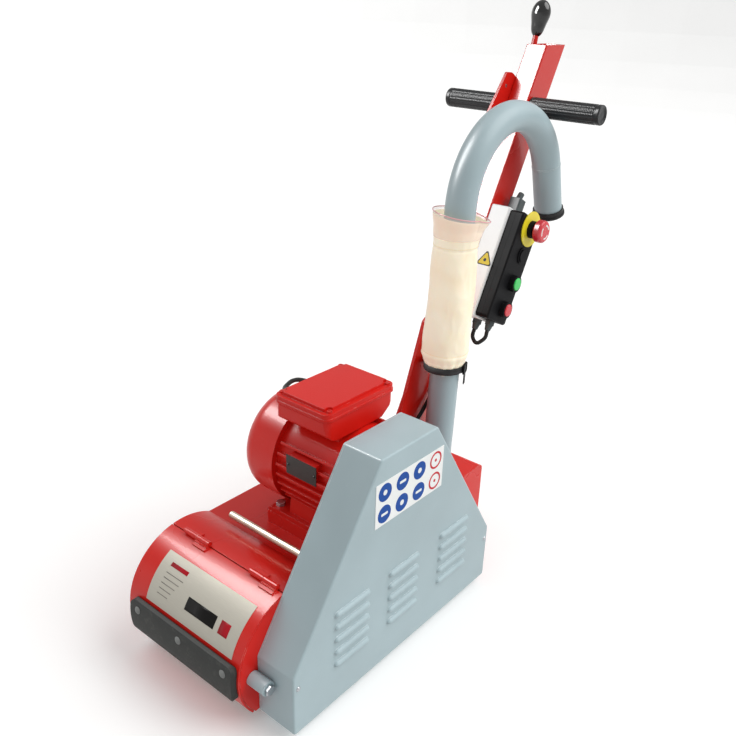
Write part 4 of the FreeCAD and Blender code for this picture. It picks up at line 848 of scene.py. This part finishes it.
def bag_point(share, angle, out=0.0):
    """A point on the bag, whose mouth is pulled down at the ear."""
    centre = riser_centre(BAG_LOW.z + BAG_HEIGHT * share) + BAG_OFFSET
    r = bag_radius(share, angle) + out
    drop = (5.0 * math.cos(angle - 0.69) + 4.0 * ear(angle)) * mouth_share(share) ** 2 * MM
    return centre + Vector((r * math.cos(angle), r * math.sin(angle), -drop))


def dust_bag():
    around, tall = 160, 190
    rows = [[bag_point(k / tall, 2 * math.pi * i / around) for i in range(around)] for k in range(tall + 1)]
    bag = piece("dust_bag_cloth", rings(rows), finish_of["cotton_canvas"], "root")
    smooth(bag)
    wall = bag.modifiers.new("cloth_thickness", "SOLIDIFY")
    wall.thickness = BAG_THICK
    wall.offset = -1
    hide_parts("dust_bag")


def bag_stitches():
    """Short stitches in a row above the hem and along the upper seam."""
    thread = ink("cotton_thread", "E3CFA8")
    for name, share in (("hem_stitches", 0.138), ("seam_stitches", 0.83)):
        mesh = bmesh.new()
        count = 74
        for i in range(count):
            a0 = 2 * math.pi * i / count
            a1 = a0 + 2 * math.pi / count * 0.62
            corners = []
            for k in range(5):
                a = a0 + (a1 - a0) * k / 4
                bulge = 0.35 * MM * math.sin(math.pi * k / 4)
                across = ((0.05 * MM, -0.35), (0.35 * MM, 0), (0.05 * MM, 0.35))
                corners.append([mesh.verts.new(bag_point(share, a, out + bulge) + Vector((0, 0, dz * MM)))
                                for out, dz in across])
            for one, two in zip(corners, corners[1:]):
                for j in range(3):
                    k = (j + 1) % 3
                    mesh.faces.new((one[j], one[k], two[k], two[j]))
            mesh.faces.new(corners[0][::-1])
            mesh.faces.new(corners[-1])
        bmesh.ops.recalc_face_normals(mesh, faces=mesh.faces)
        piece(name, mesh, thread, "root")


def bag_strap():
    """A webbing strap ties the gathered hem to the pipe; its buckle is on the operator's right."""
    webbing = black_webbing()
    z0 = BAG_LOW.z + 1.5 * MM
    centre = riser_centre(z0 + 6 * MM) + BAG_OFFSET
    rows = []
    for dz, dr in ((0, 0.2), (0.6, 1.4), (11.4, 1.4), (12, 0.2), (11.4, -0.4), (0.6, -0.4), (0, 0.2)):
        ring = []
        for i in range(96):
            a = 2 * math.pi * i / 96
            r = (33.4 + dr + 0.25 * math.sin(a * 17)) * MM
            ring.append(centre + Vector((r * math.cos(a), r * math.sin(a), (dz - 6) * MM)))
        rows.append(ring)
    mesh = rings(rows)
    bmesh.ops.remove_doubles(mesh, verts=mesh.verts, dist=1e-6)
    bmesh.ops.recalc_face_normals(mesh, faces=mesh.faces)
    smooth(piece("bag_strap", mesh, webbing, "root"))
    out = Vector((math.cos(0.35), math.sin(0.35), 0))
    across = Vector((-out.y, out.x, 0))
    seat = centre + out * 34.4 * MM
    frame_piece = raised("strap_buckle", oblong(0.022, 0.018, 0.004), seat, across, Vector((0, 0, 1)), 3.5 * MM,
                         finish_of["black_plastic"], "root", hole=oblong(0.014, 0.010, 0.002))
    soften_edges(frame_piece, 0.8 * MM)
    tail_seat = seat + out * 1.2 * MM - Vector((0, 0, 0.012))
    tail = raised("strap_tail", oblong(0.010, 0.034, 0.002), tail_seat, across, Vector((0, 0, 1)), 1.4 * MM,
                  webbing, "root")
    soften_edges(tail, 0.4 * MM)


def soften_edges(made, width):
    bevel = made.modifiers.new("soft_edges", "BEVEL")
    bevel.width = width
    bevel.segments = 3
    bevel.limit_method = "ANGLE"
    smooth(made)


def bag_collar():
    """Clear film sewn round the bag's mouth, with a welded bead along its rim."""
    around, tall = 128, 26
    first, last = 0.88, 1.017
    rows = []
    for k in range(tall + 1):
        share = first + (last - first) * k / tall
        rows.append([bag_point(share, 2 * math.pi * i / around, 0.9 * MM) for i in range(around)])
    film = smooth(piece("bag_collar_film", rings(rows), finish_of["clear_film"], "root"))
    wall = film.modifiers.new("film_thickness", "SOLIDIFY")
    wall.thickness = 0.4 * MM
    wall.offset = -1
    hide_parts("bag_collar")
    rim = []
    for i in range(around):
        a = 2 * math.pi * i / around
        at = bag_point(last, a, 0.9 * MM)
        out = Vector((math.cos(a), math.sin(a), 0))
        rim.append([at + out * 0.9 * MM * math.cos(b) + Vector((0, 0, 0.9 * MM * math.sin(b)))
                    for b in (2 * math.pi * j / 12 for j in range(12))])
    bead = rings(rim + rim[:1])
    bmesh.ops.remove_doubles(bead, verts=bead.verts, dist=1e-6)
    bmesh.ops.recalc_face_normals(bead, faces=bead.faces)
    smooth(piece("bag_collar_bead", bead, pink_bead(), "root"))


# ---------------------------------------------------------------- floor

def make_floor():
    """A floor that sweeps up into a backdrop all round, far out."""
    mesh = bmesh.new()
    flat, sweep = 7.0, 5.0
    around = 96
    turns = [2 * math.pi * i / around for i in range(around)]
    rows = []
    for k in range(13):
        a = math.radians(90 * k / 12)
        radius = flat + sweep * math.sin(a)
        height = sweep * (1 - math.cos(a))
        rows.append([mesh.verts.new((radius * math.cos(t), radius * math.sin(t), height)) for t in turns])
    mesh.faces.new(rows[0])
    for one, two in zip(rows, rows[1:]):
        for i in range(around):
            j = (i + 1) % around
            mesh.faces.new((one[i], two[i], two[j], one[j]))
    data = bpy.data.meshes.new("studio_floor")
    mesh.to_mesh(data)
    mesh.free()
    data.materials.append(floor_paint())
    floor = bpy.data.objects.new("studio_floor", data)
    floor.visible_diffuse = False
    bpy.context.scene.collection.objects.link(floor)


make_camera()
make_lights()
make_floor()
coat_cad_nodes()
guard_marks()
plate_marks()
enclosure_sign()
estop_marks()
grips()
dust_bag()
bag_stitches()
bag_strap()
bag_collar()
